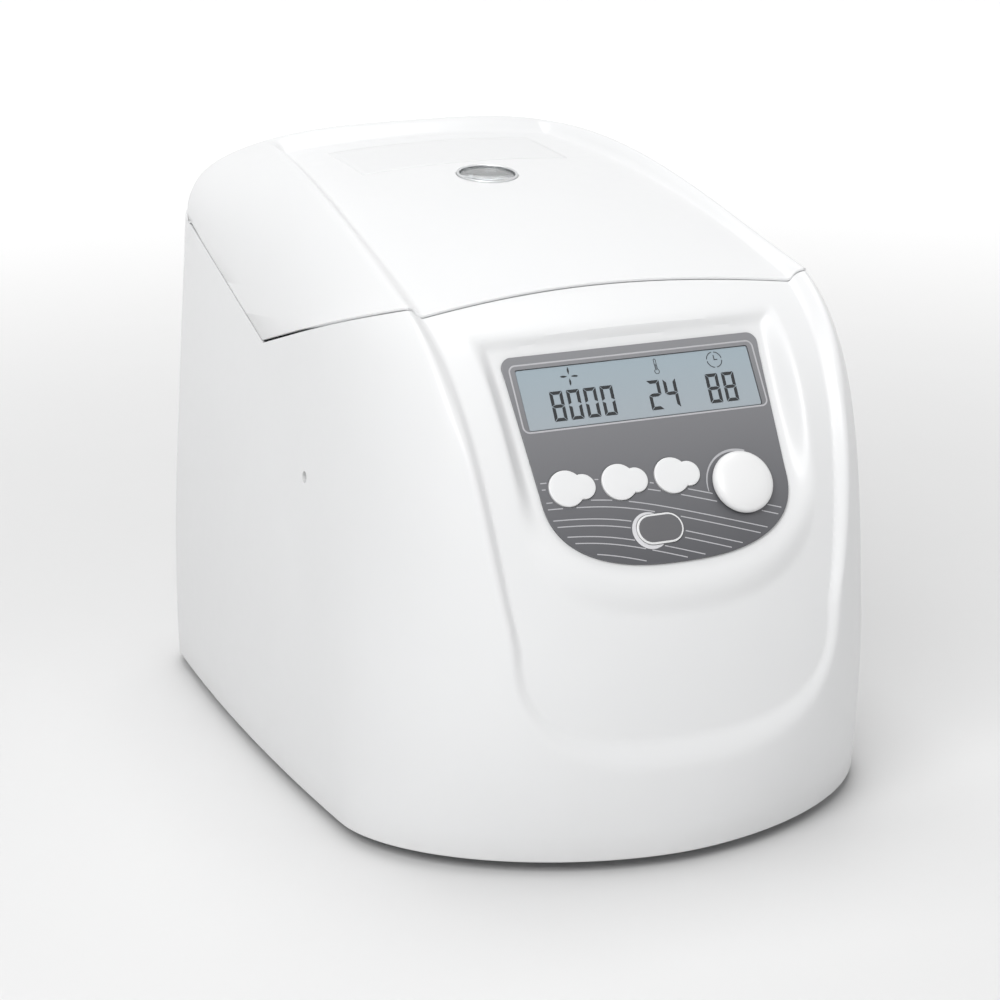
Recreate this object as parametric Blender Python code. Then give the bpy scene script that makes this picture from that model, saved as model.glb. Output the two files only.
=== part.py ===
"""High-speed bench centrifuge: moulded housing, hinged lid, chamber, rotor, drive and controls.

The part stands on its feet with +Z up. The display faces -Y and the back faces +Y.
Lengths are in metres and angles in degrees. A name that ends in share or shares is a ratio.
"""

import math

import bmesh
import bpy
from mathutils import Matrix, Vector
from mathutils.bvhtree import BVHTree

# Clearances
GAP = 0.0003
SEAM = 0.0012
OVERRUN = 0.006
RUNNING_GAP = 0.0006

# Depth of the box's middle behind the point that the skins are measured from
ORIGIN_Y = 0.0028

# Rotor chamber, which the plan of the housing goes round
ROTOR_Y = 0.0485
BOWL_RADIUS = 0.0985
BOWL_SIDE_ROOM = 0.0378
BOWL_NOSE_ROOM = 0.1370
BOWL_REAR_ROOM = 0.0385

# Outer skin of the housing, heights above the rim
HALF_WIDTH = BOWL_RADIUS + BOWL_SIDE_ROOM
SIDE_LEAN = 0.0144
SIDE_BULGE = 0.0040
NOSE_Y = ROTOR_Y - BOWL_RADIUS - BOWL_NOSE_ROOM
CROWN_Y = 0.0402
CROWN_RISE = 0.2613
NOSE_ROUND_SHARE = 4.6
EDGE_SETBACK = 0.0949
EDGE_FOOT_Y = NOSE_Y + EDGE_SETBACK
TIP_Y = 0.0377
TIP_DROP = 0.0629
TIP_RISE = CROWN_RISE - TIP_DROP
SHOULDER_DROP = 0.0119
SHOULDER_RISE = CROWN_RISE - SHOULDER_DROP
PLAN_ROUND_SHARES = (1.84, 2.73, 3.63)
TUCK = 0.0092
TUCK_RISE = 0.090
REAR_Y = ROTOR_Y + BOWL_RADIUS + BOWL_REAR_ROOM
REAR_LEAN = 0.0050
CORNER_RADIUS = 0.030
REAR_LINE_DROP = 0.0143
REAR_LINE_RISE = CROWN_RISE - REAR_LINE_DROP
REAR_WALL_DROP = 0.0075
REAR_WALL_RISE = REAR_LINE_RISE - REAR_WALL_DROP
HOUSING_WALL = 0.0024

# Feet and rim
FOOT_HEIGHT = 0.006
FOOT_RADIUS = 0.012
FOOT_TOP_RADIUS = 0.0145
FOOT_SIDE_INSET = 0.0383
FOOT_NOSE_INSET = 0.0920
FOOT_REAR_INSET = 0.0405
FOOT_X = HALF_WIDTH - FOOT_SIDE_INSET
FOOT_FRONT_Y = NOSE_Y + FOOT_NOSE_INSET
FOOT_REAR_Y = REAR_Y - FOOT_REAR_INSET

# Recessed band down the front
BAND_DEPTH = 0.0075
BAND_NOSE_Y = NOSE_Y + BAND_DEPTH
BAND_CROWN_Y = 0.0372
BAND_CROWN_DROP = 0.0093
BAND_CROWN_RISE = CROWN_RISE - BAND_CROWN_DROP
BAND_ROUND_SHARE = 3.3
BAND_BOW = 0.0140
BAND_BOW_LOW = 0.100
BAND_BOW_DROP = 0.0100
BAND_BOW_HIGH = BAND_CROWN_RISE - BAND_BOW_DROP
BAND_INSET = 0.0483
BAND_HALF = HALF_WIDTH - BAND_INSET
BAND_LINE_INSET = 0.0110
BAND_LINE_RISE = BAND_CROWN_RISE - BAND_LINE_INSET
BAND_LINE_DROP = 0.0042
OUTER_TOP_INSET = 0.0363
OUTER_MID_INSET = 0.0533
OUTER_TOP_HALF = HALF_WIDTH - OUTER_TOP_INSET
OUTER_MID_HALF = HALF_WIDTH - OUTER_MID_INSET
OUTER_MID_RISE = 0.1140
OUTER_LOW_RISE = 0.0425
BAND_TOP_SLOPE = 0.0090
BAND_MID_SLOPE = 0.0075
INNER_TOP_HALF = OUTER_TOP_HALF - BAND_TOP_SLOPE
INNER_MID_HALF = OUTER_MID_HALF - BAND_MID_SLOPE
INNER_MID_RISE = 0.1050
INNER_LOW_RISE = 0.0580
BAND_TOP_DROP = 0.0140
BAND_TOP_RISE = BAND_CROWN_RISE - BAND_TOP_DROP
BAND_FLARE_SHARE = 0.75
BAND_CORNER_SHARE = 3.0

# Display pocket and the panel that lies in it
PANEL_TILT = 35.24
PANEL_SETBACK = 0.0714
PANEL_DROP = 0.0364
PANEL_Y = NOSE_Y + PANEL_SETBACK
PANEL_RISE = BAND_CROWN_RISE - PANEL_DROP
PANEL_THICK = 0.0012
PANEL_TOP = 0.0053
WINDOW_HALF = 0.0576
PANEL_TOP_SIDE = 0.0057
PANEL_MID_SIDE = 0.0024
PANEL_TOP_HALF = WINDOW_HALF + PANEL_TOP_SIDE
PANEL_MID_HALF = WINDOW_HALF + PANEL_MID_SIDE
PANEL_MID = -0.0600
PANEL_LOW = -0.0970
PANEL_ROUND_SHARE = 2.5
PANEL_CORNER = 0.0050
POCKET_MARGIN = 0.0034
POCKET_SLOPE = 0.0100
POCKET_LOW_SLOPE = 0.0260

# Lid skin, heights above the rim
LID_WALL = 0.0022
RIM_SHARE = 0.35
LID_BULGE = 0.0257
LID_CROWN_RISE = CROWN_RISE + LID_BULGE
LID_CROWN_Y = 0.0550
LID_CROWN_DROP = 0.0185
LID_CROWN_REACH = 0.1505
LID_SIDE_SHARE = 3.2
LID_FLOOR_DEPTH = 0.0150
LID_FLOOR_RISE = LID_CROWN_RISE - LID_FLOOR_DEPTH
LID_FLOOR_INSET = 0.0385
LID_FLOOR_Y = REAR_Y - LID_FLOOR_INSET
LID_FLOOR_DROP = 0.0310
LID_FLOOR_REACH = 0.2285
LID_FLOOR_SHARE = 2.4
LID_FLOOR_CAMBER = 0.0060
LID_BAND_HALF = OUTER_TOP_HALF
LID_BAND_TAPER = 0.0200
LID_BAND_SETBACK = 0.0915
LID_BAND_FRONT_Y = NOSE_Y + LID_BAND_SETBACK
LID_BAND_REACH = 0.2455
LID_BAND_SHARE = 1.6
LID_BAND_STEP = 0.0095
LID_STEP_INSET = 0.0475
LID_STEP_Y = REAR_Y - LID_STEP_INSET
LID_STEP_RUN = 0.0160
LID_REAR_INSET = 0.0080
LID_REAR_Y = REAR_Y - LID_REAR_INSET
LID_REAR_ROUND = 0.0250
LID_REAR_LIP = 0.0005
LID_REAR_RISE = REAR_LINE_RISE + LID_REAR_LIP

# Grid shares of the two moulded skins
COLUMN_SHARES = (0.0, 0.14, 0.28, 0.40, 0.47, 0.52, 0.565, 0.61, 0.655, 0.70, 0.75, 0.82, 0.90, 0.965, 1.0)
LEVEL_SHARES = (0.0, 0.07, 0.13, 0.18, 0.22, 0.26, 0.32, 0.39, 0.47, 0.55, 0.62, 0.69, 0.76, 0.82,
                0.87, 0.926, 0.962, 1.0)
LID_ROW_SHARES = (0.0, 0.05, 0.14, 0.25, 0.37, 0.50, 0.62, 0.73, 0.80, 0.85, 0.89, 0.925, 0.955, 0.98, 1.0)
PANEL_COLUMN_SHARE = 0.47
INNER_COLUMN_SHARE = 0.61
OUTER_COLUMN_SHARE = 0.70
SIDE_STEP_COUNT = 4
CORNER_STEP_COUNT = 4
REAR_STEP_COUNT = 2
OUTLINE_COUNT = 40

# Deck and bowl
DECK_DROP = 0.0673
DECK_TOP = FOOT_HEIGHT + CROWN_RISE - DECK_DROP
DECK_THICK = 0.0030
DECK_SETBACK = 0.0006
DECK_FRONT_Y = PANEL_Y + DECK_SETBACK
BOWL_SHEET = 0.0012
BOWL_DEPTH = 0.0920
BOWL_FLOOR = DECK_TOP - BOWL_DEPTH
BOWL_CORNER = 0.012
FLANGE_WIDTH = 0.0095
BOWL_FLANGE = BOWL_RADIUS + FLANGE_WIDTH
BOWL_HOLE = 0.022
SEAL_INSET = 0.0010
SEAL_WIDTH = 0.0070
SEAL_OUTER = BOWL_FLANGE - SEAL_INSET
SEAL_INNER = SEAL_OUTER - SEAL_WIDTH
SEAL_HEIGHT = 0.0042
LINER_THICK = 0.0020
LINER_REST = 0.0010
LINER_SIDE = 0.0055
LINER_HALF_X = BOWL_RADIUS + LINER_SIDE
LINER_HALF_Y = BOWL_RADIUS + FLANGE_WIDTH
LINER_SHIFT = 0.0065
LINER_Y = ROTOR_Y - LINER_SHIFT
LINER_ROUND_SHARE = 4.0

# Rotor, heights above its own base
ROTOR_LIFT = 0.0170
ROTOR_BASE = BOWL_FLOOR + ROTOR_LIFT
ROTOR_ROOM = 0.0095
ROTOR_RADIUS = BOWL_RADIUS - ROTOR_ROOM
ROTOR_HEIGHT = 0.0530
ROTOR_WELL_FLOOR = 0.0140
ROTOR_WELL_INNER = 0.0180
ROTOR_CONE = 0.0100
ROTOR_RIM = 0.0045
ROTOR_RIM_OUTER = ROTOR_RADIUS - ROTOR_CONE
ROTOR_RIM_INNER = ROTOR_RIM_OUTER - ROTOR_RIM
ROTOR_WELL_OUTER = ROTOR_RIM_INNER - (ROTOR_HEIGHT - ROTOR_WELL_FLOOR)
ROTOR_SHOULDER = 0.0300
ROTOR_HUB_RADIUS = 0.0160
ROTOR_HUB_TOP = 0.0300
ROTOR_BORE = 0.0048
ROTOR_CHAMFER = 0.0030
TUBE_COUNT = 18
TUBE_RADIUS = 0.0055
TUBE_DEPTH = 0.0310
TUBE_TIP = 0.0070
TUBE_TIP_RADIUS = 0.0025
TUBE_INSET = 0.0195
TUBE_CIRCLE = ROTOR_WELL_OUTER + TUBE_INSET
TUBE_TILT = 45.0
SHAFT_RADIUS = 0.0042
SHAFT_COLLAR = 0.0100
SHAFT_COLLAR_HEIGHT = 0.0040
NUT_RADIUS = 0.0130
NUT_HEIGHT = 0.0140
NUT_GRIP_COUNT = 16
NUT_GRIP_DEPTH = 0.0008

# Base pan
PAN_BASE = 0.0065
PAN_THICK = 0.0015

# Motor and its mounting
MOTOR_RADIUS = 0.0420
MOTOR_ROOM = 0.0100
MOTOR_TOP = BOWL_FLOOR - MOTOR_ROOM
MOTOR_BOSS_RADIUS = 0.0200
MOTOR_BOSS = 0.0040
PLATE_RADIUS = 0.0680
PLATE_SHARE = 0.4317
PLATE_BASE = PAN_BASE + (MOTOR_TOP - PAN_BASE) * PLATE_SHARE
PLATE_THICK = 0.0040
DAMPER_RADIUS = 0.0090
DAMPER_WAIST = 0.0065
DAMPER_CIRCLE = 0.0580
DAMPER_COUNT = 3
BOOT_THICK = 0.0015
BOOT_RADIUS = 0.0250

# Power board
BOARD_THICK = 0.0016
POWER_X = -0.0050
POWER_REAR_ROOM = 0.0535
POWER_SIDE_ROOM = 0.0413
POWER_Y = REAR_Y - POWER_REAR_ROOM
POWER_HALF_X = HALF_WIDTH - POWER_SIDE_ROOM
POWER_HALF_Y = 0.0180
POWER_RISE = 0.0060

# Lid hinge
HINGE_INSET = 0.0100
HINGE_LIFT = 0.0040
HINGE_Y = REAR_Y - HINGE_INSET
HINGE_RISE = REAR_WALL_RISE + HINGE_LIFT
HINGE_BARREL = 0.0037
PIN_RADIUS = 0.0020
BARREL_LENGTH = 0.0140
BARREL_X = 0.0380
LEAF_THICK = 0.0022
FIXED_LEAF = 0.0400
MOVING_LEAF = 0.0120
LEAF_SETBACK = 0.0027
SPRING_RADIUS = 0.0031
SPRING_WIRE = 0.0005
SPRING_LENGTH = 0.0130
SPRING_TURN_COUNT = 4

# Lid window
WINDOW_RADIUS = 0.0152
WINDOW_RING = 0.0014
WINDOW_GLASS = 0.0030
WINDOW_LIP = 0.0006

# Latch
STRIKER_ROOM = 0.0085
STRIKER_Y = ROTOR_Y - BOWL_FLANGE - STRIKER_ROOM
STRIKER_HALF = 0.0080
STRIKER_THICK = 0.0025
STRIKER_REACH = 0.0220
STRIKER_LOW = DECK_TOP - STRIKER_REACH
STRIKER_EYE_HALF = 0.0055
STRIKER_EYE_DROP = 0.0070
STRIKER_EYE_HEIGHT = 0.0110
STRIKER_EYE_HIGH = DECK_TOP - STRIKER_EYE_DROP
STRIKER_EYE_LOW = STRIKER_EYE_HIGH - STRIKER_EYE_HEIGHT
SLOT_HALF_X = 0.0095
SLOT_AHEAD = 0.0095
SLOT_BEHIND = 0.0060
SLOT_FRONT_Y = STRIKER_Y - SLOT_AHEAD
SLOT_REAR_Y = STRIKER_Y + SLOT_BEHIND
LATCH_HALF = 0.0130
LATCH_PLATE = 0.0015
LATCH_DEPTH = 0.0420
LATCH_AHEAD = 0.0215
LATCH_BEHIND = 0.0045
LATCH_LOW = DECK_TOP - LATCH_DEPTH
LATCH_FRONT_Y = STRIKER_Y - LATCH_AHEAD
LATCH_REAR_Y = STRIKER_Y + LATCH_BEHIND
PAWL_HALF = 0.0032
PAWL_AHEAD = 0.0155
PAWL_DEPTH = 0.0350
PAWL_Y = STRIKER_Y - PAWL_AHEAD
PAWL_PIVOT = DECK_TOP - PAWL_DEPTH
PAWL_NOSE = 0.0150
PAWL_TOP = 0.0224
PAWL_DRAWN = 14.0
PAWL_THICK = 0.0050
PAWL_PIN = 0.0018
SOLENOID_RADIUS = 0.0090
SOLENOID_LENGTH = 0.0260

# Back wall fittings
INLET_X = -0.0480
SWITCH_X = 0.0300
FITTING_Z = 0.0460
INLET_HALF_X = 0.0240
INLET_HALF_Z = 0.0200
INLET_DEPTH = 0.0240
INLET_FLANGE = 0.0025
SOCKET_HALF_X = 0.0120
SOCKET_HALF_Z = 0.0080
SOCKET_DEPTH = 0.0160
DRAWER_HALF_X = 0.0110
DRAWER_HALF_Z = 0.0040
DRAWER_DEPTH = 0.0180
DRAWER_DROP = 0.0145
SWITCH_HALF_X = 0.0105
SWITCH_HALF_Z = 0.0150
SWITCH_DEPTH = 0.0170
ROCKER_HALF_X = 0.0080
ROCKER_HALF_Z = 0.0120
ROCKER_TILT = 9.0
ROCKER_PROUD = 0.0015
ROCKER_BULGE_SHARES = (1.9, 1.2, 1.6)
VENT_COUNT = 7
VENT_PITCH = 0.0080
VENT_HEIGHT = 0.0032
VENT_HALF = 0.0260
VENT_X = 0.0500
VENT_Z = 0.1000
RELEASE_HOLE_RADIUS = 0.0028
RELEASE_AHEAD = 0.0775
RELEASE_DROP = 0.0440
RELEASE_Y = ROTOR_Y - RELEASE_AHEAD
RELEASE_Z = DECK_TOP - RELEASE_DROP

# Controls, placed on the panel from the display's top centre
OPENING_SIDE = 0.0009
OPENING_HALF = WINDOW_HALF + OPENING_SIDE
OPENING_MID = -0.0660
OPENING_LOW_HALF = 0.0260
OPENING_LOW = -0.0915
WINDOW_TOP = -0.0008
WINDOW_LOW = -0.0298
LENS_THICK = 0.0010
MODULE_DEPTH = 0.0065
MODULE_LOW = -0.0330
MODULE_RIM = 0.0020
KNOB_U = 0.0362
KNOB_V = -0.0655
KNOB_RADIUS = 0.0144
KNOB_HEIGHT = 0.0066
KNOB_EDGE = 0.0018
KNOB_STEM = 0.0030
KNOB_STEM_REACH = 0.0055
ENCODER_HALF = 0.0060
ENCODER_THICK = 0.0052
BUTTON_V = -0.0577
PULSE_U = -0.0472
DOOR_U = -0.0218
SELECT_U = 0.0039
BUTTON_RADIUS = 0.0084
LOBE_RADIUS = 0.0058
LOBE_REACH = 0.0079
START_U = -0.0081
START_V = -0.0811
START_HALF = 0.0112
START_RADIUS = 0.0069
BUTTON_PROUD = 0.0009
BUTTON_FLANGE = 0.0004
BUTTON_FLANGE_THICK = 0.0012
BUTTON_TRAVEL = 0.0006
BOARD_DEPTH = 0.0076
BOARD_SIDE = 0.0060
BOARD_HALF = WINDOW_HALF + BOARD_SIDE
BOARD_TOP = -0.0360
BOARD_LOW = -0.0905
BOARD_POST = 0.0018

COLOURS = {
    "housing_white": ((0.86, 0.87, 0.88), 0.42, 0.0),
    "liner_grey": ((0.55, 0.56, 0.58), 0.5, 0.0),
    "panel_grey": ((0.24, 0.24, 0.26), 0.45, 0.0),
    "lcd_glass": ((0.45, 0.56, 0.60), 0.12, 0.0),
    "window_clear": ((0.80, 0.84, 0.85), 0.05, 0.0),
    "button_white": ((0.80, 0.81, 0.82), 0.5, 0.0),
    "black_plastic": ((0.03, 0.03, 0.03), 0.5, 0.0),
    "rubber_black": ((0.02, 0.02, 0.02), 0.8, 0.0),
    "steel": ((0.62, 0.63, 0.64), 0.28, 1.0),
    "aluminium": ((0.70, 0.71, 0.72), 0.35, 1.0),
    "board_green": ((0.02, 0.18, 0.08), 0.5, 0.0),
}


def clamp(value):
    """A value kept between 0 and 1."""
    return min(1.0, max(0.0, value))


def ease(value):
    """A smooth step from 0 to 1."""
    value = clamp(value)
    return value * value * (3.0 - 2.0 * value)


def mix(start, end, share):
    """The value at a share of the way from start to end."""
    return start + (end - start) * share


def bow(share, power):
    """Height, 0 to 1, of a rounded hump at a share of its half width."""
    return max(0.0, 1.0 - abs(share) ** power) ** (1.0 / power)


def half_width(level):
    """Half width of the housing at a level, 0 at the rim and 1 at the lid line."""
    return HALF_WIDTH - SIDE_LEAN * level


def outer_front_y(share, level, rise):
    """Depth of the bulging outer front at a share of the half width."""
    foot, middle, top = PLAN_ROUND_SHARES
    power = foot * (1 - level) * (1 - 2 * level) + 4 * middle * level * (1 - level)
    power += top * level * (2 * level - 1)
    edge = mix(EDGE_FOOT_Y, TIP_Y, level)
    centre_rise = SHOULDER_RISE * level
    centre = CROWN_Y - (CROWN_Y - NOSE_Y) * bow(centre_rise / CROWN_RISE, NOSE_ROUND_SHARE)
    tuck = TUCK * max(0.0, 1 - rise / TUCK_RISE) ** 2
    return mix(edge, centre, bow(share, power)) + tuck


def band_front_y(x, rise):
    """Depth of the recessed band's floor."""
    centre = BAND_CROWN_Y - (BAND_CROWN_Y - BAND_NOSE_Y) * bow(rise / BAND_CROWN_RISE, BAND_ROUND_SHARE)
    fade = 1 - clamp((rise - BAND_BOW_LOW) / (BAND_BOW_HIGH - BAND_BOW_LOW)) ** 2
    return centre + BAND_BOW * fade * (x / BAND_HALF) ** 2


def band_reach(x, rise, mid_half, top_half, mid_rise, low_rise):
    """How far out a point is on the band's outline, 1 on the outline itself."""
    if rise >= mid_rise:
        climb = clamp((rise - mid_rise) / (BAND_TOP_RISE - mid_rise)) ** BAND_FLARE_SHARE
        return abs(x) / mix(mid_half, top_half, climb)
    drop = (mid_rise - rise) / (mid_rise - low_rise)
    power = BAND_CORNER_SHARE
    return ((abs(x) / mid_half) ** power + drop ** power) ** (1.0 / power)


def band_mask(x, rise):
    """0 on the outer skin, 1 on the band's floor and smooth between."""
    outer = band_reach(x, rise, OUTER_MID_HALF, OUTER_TOP_HALF, OUTER_MID_RISE, OUTER_LOW_RISE)
    inner = band_reach(x, rise, INNER_MID_HALF, INNER_TOP_HALF, INNER_MID_RISE, INNER_LOW_RISE)
    if outer >= 1:
        return 0.0
    if inner <= 1:
        return 1.0
    return ease((1 - outer) / ((1 - outer) + (inner - 1)))


def panel_half(v):
    """Half width of the control panel at a height v along it."""
    if v >= PANEL_MID:
        return mix(PANEL_MID_HALF, PANEL_TOP_HALF, (v - PANEL_MID) / (PANEL_TOP - PANEL_MID))
    return PANEL_MID_HALF * bow((PANEL_MID - v) / (PANEL_MID - PANEL_LOW), PANEL_ROUND_SHARE)


def pocket_share(x, v):
    """1 on the flat floor of the display pocket, 0 outside its slopes."""
    side = abs(x) - mix(PANEL_MID_HALF, PANEL_TOP_HALF, clamp((v - PANEL_MID) / (PANEL_TOP - PANEL_MID)))
    out = max(side, v - PANEL_TOP)
    down = 0.0
    if v < PANEL_MID:
        drop = (PANEL_MID - v) / (PANEL_MID - PANEL_LOW)
        power = PANEL_ROUND_SHARE
        reach = ((abs(x) / PANEL_MID_HALF) ** power + drop ** power) ** (1.0 / power)
        down = (drop / reach) ** power
        out = (reach - 1) * mix(PANEL_MID_HALF, PANEL_MID - PANEL_LOW, down)
    return 1 - ease((out - POCKET_MARGIN) / mix(POCKET_SLOPE, POCKET_LOW_SLOPE, down))


def column_x(column, half, outer, inner, pocket):
    """Distance from the middle of a grid column; the columns follow the pocket's and the band's edges."""
    stops = ((0.0, 0.0), (PANEL_COLUMN_SHARE, pocket), (INNER_COLUMN_SHARE, inner), (OUTER_COLUMN_SHARE, outer),
             (1.0, half))
    size = abs(column)
    for (start, low), (end, high) in zip(stops, stops[1:]):
        if size <= end:
            return math.copysign(mix(low, high, (size - start) / (end - start)), column)
    return math.copysign(half, column)


def line_rise(share):
    """Height of the lid line at a share of the half width."""
    outer = mix(TIP_RISE, SHOULDER_RISE, bow(share, PLAN_ROUND_SHARES[2]))
    x = share * half_width(1.0)
    floor = BAND_LINE_RISE - BAND_LINE_DROP * (x / BAND_HALF) ** 2
    return mix(outer, floor, band_mask(x, BAND_TOP_RISE))


def front_point(column, level):
    """A point of the housing's front, at a grid column and a level."""
    guide = level * BAND_LINE_RISE
    climb = clamp((guide - OUTER_MID_RISE) / (BAND_TOP_RISE - OUTER_MID_RISE)) ** BAND_FLARE_SHARE
    outer = mix(OUTER_MID_HALF, OUTER_TOP_HALF, climb)
    inner = outer - mix(BAND_MID_SLOPE, BAND_TOP_SLOPE, climb)
    v = (guide - PANEL_RISE) / math.cos(math.radians(PANEL_TILT))
    pocket = panel_half(min(PANEL_TOP, max(PANEL_MID, v))) + POCKET_MARGIN
    return skin_point(column_x(column, half_width(level), outer, inner, pocket), level)


def skin_point(x, level):
    """A point of the housing's front skin, at a distance from the middle and a level."""
    share = x / half_width(level)
    rise = level * line_rise(share)
    y = mix(outer_front_y(share, level, rise), band_front_y(x, rise), band_mask(x, rise))
    tilt = math.radians(PANEL_TILT)
    floor_y = PANEL_Y + (rise - PANEL_RISE) * math.tan(tilt) + (PANEL_THICK + GAP) / math.cos(tilt)
    y = mix(y, floor_y, pocket_share(x, (rise - PANEL_RISE) / math.cos(tilt)))
    x -= math.copysign(TUCK, share) * abs(share) * max(0.0, 1 - rise / TUCK_RISE) ** 2 / 2
    return Vector((x, y, FOOT_HEIGHT + rise))


def side_line_rise(y):
    """Height of the lid line along the side."""
    return mix(TIP_RISE, REAR_LINE_RISE, (y - TIP_Y) / (REAR_Y - TIP_Y))


def back_points(level):
    """Points from the right front edge round the back to the left front edge."""
    edge = front_point(1.0, level)
    width = edge.x
    rear = REAR_Y - REAR_LEAN * level ** 2
    corner_y = rear - CORNER_RADIUS
    top_corner_y = REAR_Y - REAR_LEAN - CORNER_RADIUS
    half = []
    for step in range(1, SIDE_STEP_COUNT + 1):
        share = step / SIDE_STEP_COUNT
        bulge = SIDE_BULGE * (1 - level) * 4 * share * (1 - share)
        top = side_line_rise(mix(TIP_Y, top_corner_y, share))
        half.append(Vector((width + bulge, mix(edge.y, corner_y, share), level * top)))
    for step in range(1, CORNER_STEP_COUNT + 1):
        angle = math.pi / 2 * step / CORNER_STEP_COUNT
        y = corner_y + CORNER_RADIUS * math.sin(angle)
        top = min(REAR_WALL_RISE, side_line_rise(top_corner_y + CORNER_RADIUS * math.sin(angle)))
        half.append(Vector((width - CORNER_RADIUS * (1 - math.cos(angle)), y, level * top)))
    flat = width - CORNER_RADIUS
    rear_row = [Vector((flat * (1 - 2 * step / REAR_STEP_COUNT), rear, level * REAR_WALL_RISE))
                for step in range(1, REAR_STEP_COUNT)]
    mirrored = [Vector((-point.x, point.y, point.z)) for point in reversed(half)]
    lift = Vector((0, 0, FOOT_HEIGHT))
    return [point + lift for point in half + rear_row + mirrored]


def signed_shares():
    """The column shares from the left edge to the right edge."""
    return [-share for share in reversed(COLUMN_SHARES[1:])] + list(COLUMN_SHARES)


def lid_outer_rise(x, y):
    """Height of the lid's outer skin, without its recessed band."""
    side = side_line_rise(y)
    crown = LID_CROWN_RISE - LID_CROWN_DROP * ((y - LID_CROWN_Y) / LID_CROWN_REACH) ** 2
    share = min(1.0, abs(x) / half_width(1.0))
    return mix(side, crown, math.sqrt(1 - share ** LID_SIDE_SHARE))


def lid_floor_rise(x, y):
    """Height of the floor of the lid's recessed band."""
    back = max(0.0, LID_FLOOR_Y - y) / LID_FLOOR_REACH
    crown = LID_FLOOR_RISE - LID_FLOOR_DROP * back ** LID_FLOOR_SHARE
    return crown - LID_FLOOR_CAMBER * (x / BAND_HALF) ** 2


def lid_band_edge(y):
    """Half width of the lid's recessed band at a depth."""
    back = max(0.0, y - LID_BAND_FRONT_Y) / LID_BAND_REACH
    return LID_BAND_HALF - LID_BAND_TAPER * back ** LID_BAND_SHARE


def lid_band_mask(x, y):
    """0 on the lid's outer skin and 1 on its recessed band."""
    sides = ease((lid_band_edge(y) - abs(x)) / LID_BAND_STEP)
    return sides * (1 - ease((y - LID_STEP_Y) / LID_STEP_RUN))


def lid_skin_rise(x, y):
    """Height of the finished lid skin before it turns down at the back."""
    return mix(lid_outer_rise(x, y), lid_floor_rise(x, y), lid_band_mask(x, y))


def lid_point(column, row):
    """A point of the lid, from the front lid line (row 0) to the back edge (row 1)."""
    outer = lid_band_edge(mix(LID_BAND_FRONT_Y, LID_REAR_Y, row))
    x = column_x(column, half_width(1.0), outer, outer - BAND_TOP_SLOPE, PANEL_TOP_HALF + POCKET_MARGIN)
    front = skin_point(x, 1.0)
    corner = clamp((abs(x) - (half_width(1.0) - CORNER_RADIUS)) / CORNER_RADIUS)
    rear = LID_REAR_Y - CORNER_RADIUS * (1 - math.sqrt(1 - corner * corner))
    y = mix(front.y, rear, row)
    line = front.z - FOOT_HEIGHT
    fade = max(0.0, 1 - 2 * row) ** 2
    rise = lid_skin_rise(x, y) - (lid_skin_rise(x, front.y) - line) * fade
    sill = side_line_rise(REAR_Y - REAR_LEAN - CORNER_RADIUS * (1 - math.sqrt(1 - corner * corner)))
    low = mix(LID_REAR_RISE - SEAM, min(sill, REAR_WALL_RISE), ease(2 * corner - 1))
    turn = (y - (rear - LID_REAR_ROUND)) / LID_REAR_ROUND
    if turn > 0:
        rise = low + (rise - low) * bow(min(1.0, turn), LID_FLOOR_SHARE)
    return Vector((x, y, FOOT_HEIGHT + rise + SEAM))


def clear_scene():
    """Remove every object, so that the script starts from nothing."""
    for item in list(bpy.data.objects):
        bpy.data.objects.remove(item, do_unlink=True)


def material(name):
    """The Principled material of one finish."""
    found = bpy.data.materials.get(name)
    if found:
        return found
    colour, roughness, metallic = COLOURS[name]
    made = bpy.data.materials.new(name)
    made.use_nodes = True
    shader = made.node_tree.nodes["Principled BSDF"]
    shader.inputs["Base Color"].default_value = (*colour, 1.0)
    shader.inputs["Roughness"].default_value = roughness
    shader.inputs["Metallic"].default_value = metallic
    return made


def new_object(name, mesh, finish, frame=None, smooth=30.0):
    """Put a mesh in the scene as a named object with its finish."""
    mesh.shade_smooth()
    mesh.set_sharp_from_angle(angle=math.radians(smooth))
    item = bpy.data.objects.new(name, mesh)
    item.data.materials.clear()
    item.data.materials.append(material(finish))
    bpy.context.scene.collection.objects.link(item)
    if frame is not None:
        item.matrix_world = frame
    return item


def mesh_from(bm, name):
    """Turn a bmesh into a mesh with its faces pointing out."""
    bmesh.ops.recalc_face_normals(bm, faces=bm.faces)
    mesh = bpy.data.meshes.new(name)
    bm.to_mesh(mesh)
    bm.free()
    return mesh


def box_mesh(name, low, high):
    """A box between two corners."""
    bm = bmesh.new()
    bmesh.ops.create_cube(bm, size=1.0)
    for vert in bm.verts:
        vert.co = Vector([mix(low[axis], high[axis], 0.5 + vert.co[axis]) for axis in range(3)])
    return mesh_from(bm, name)


def prism_mesh(name, outline, low, high):
    """An outline of (x, y) points extruded from low to high along Z."""
    bm = bmesh.new()
    base = [bm.verts.new((x, y, low)) for x, y in outline]
    top = [bm.verts.new((x, y, high)) for x, y in outline]
    count = len(outline)
    bm.faces.new(base)
    bm.faces.new(top)
    for index in range(count):
        bm.faces.new((base[index], base[(index + 1) % count], top[(index + 1) % count], top[index]))
    return mesh_from(bm, name)


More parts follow.
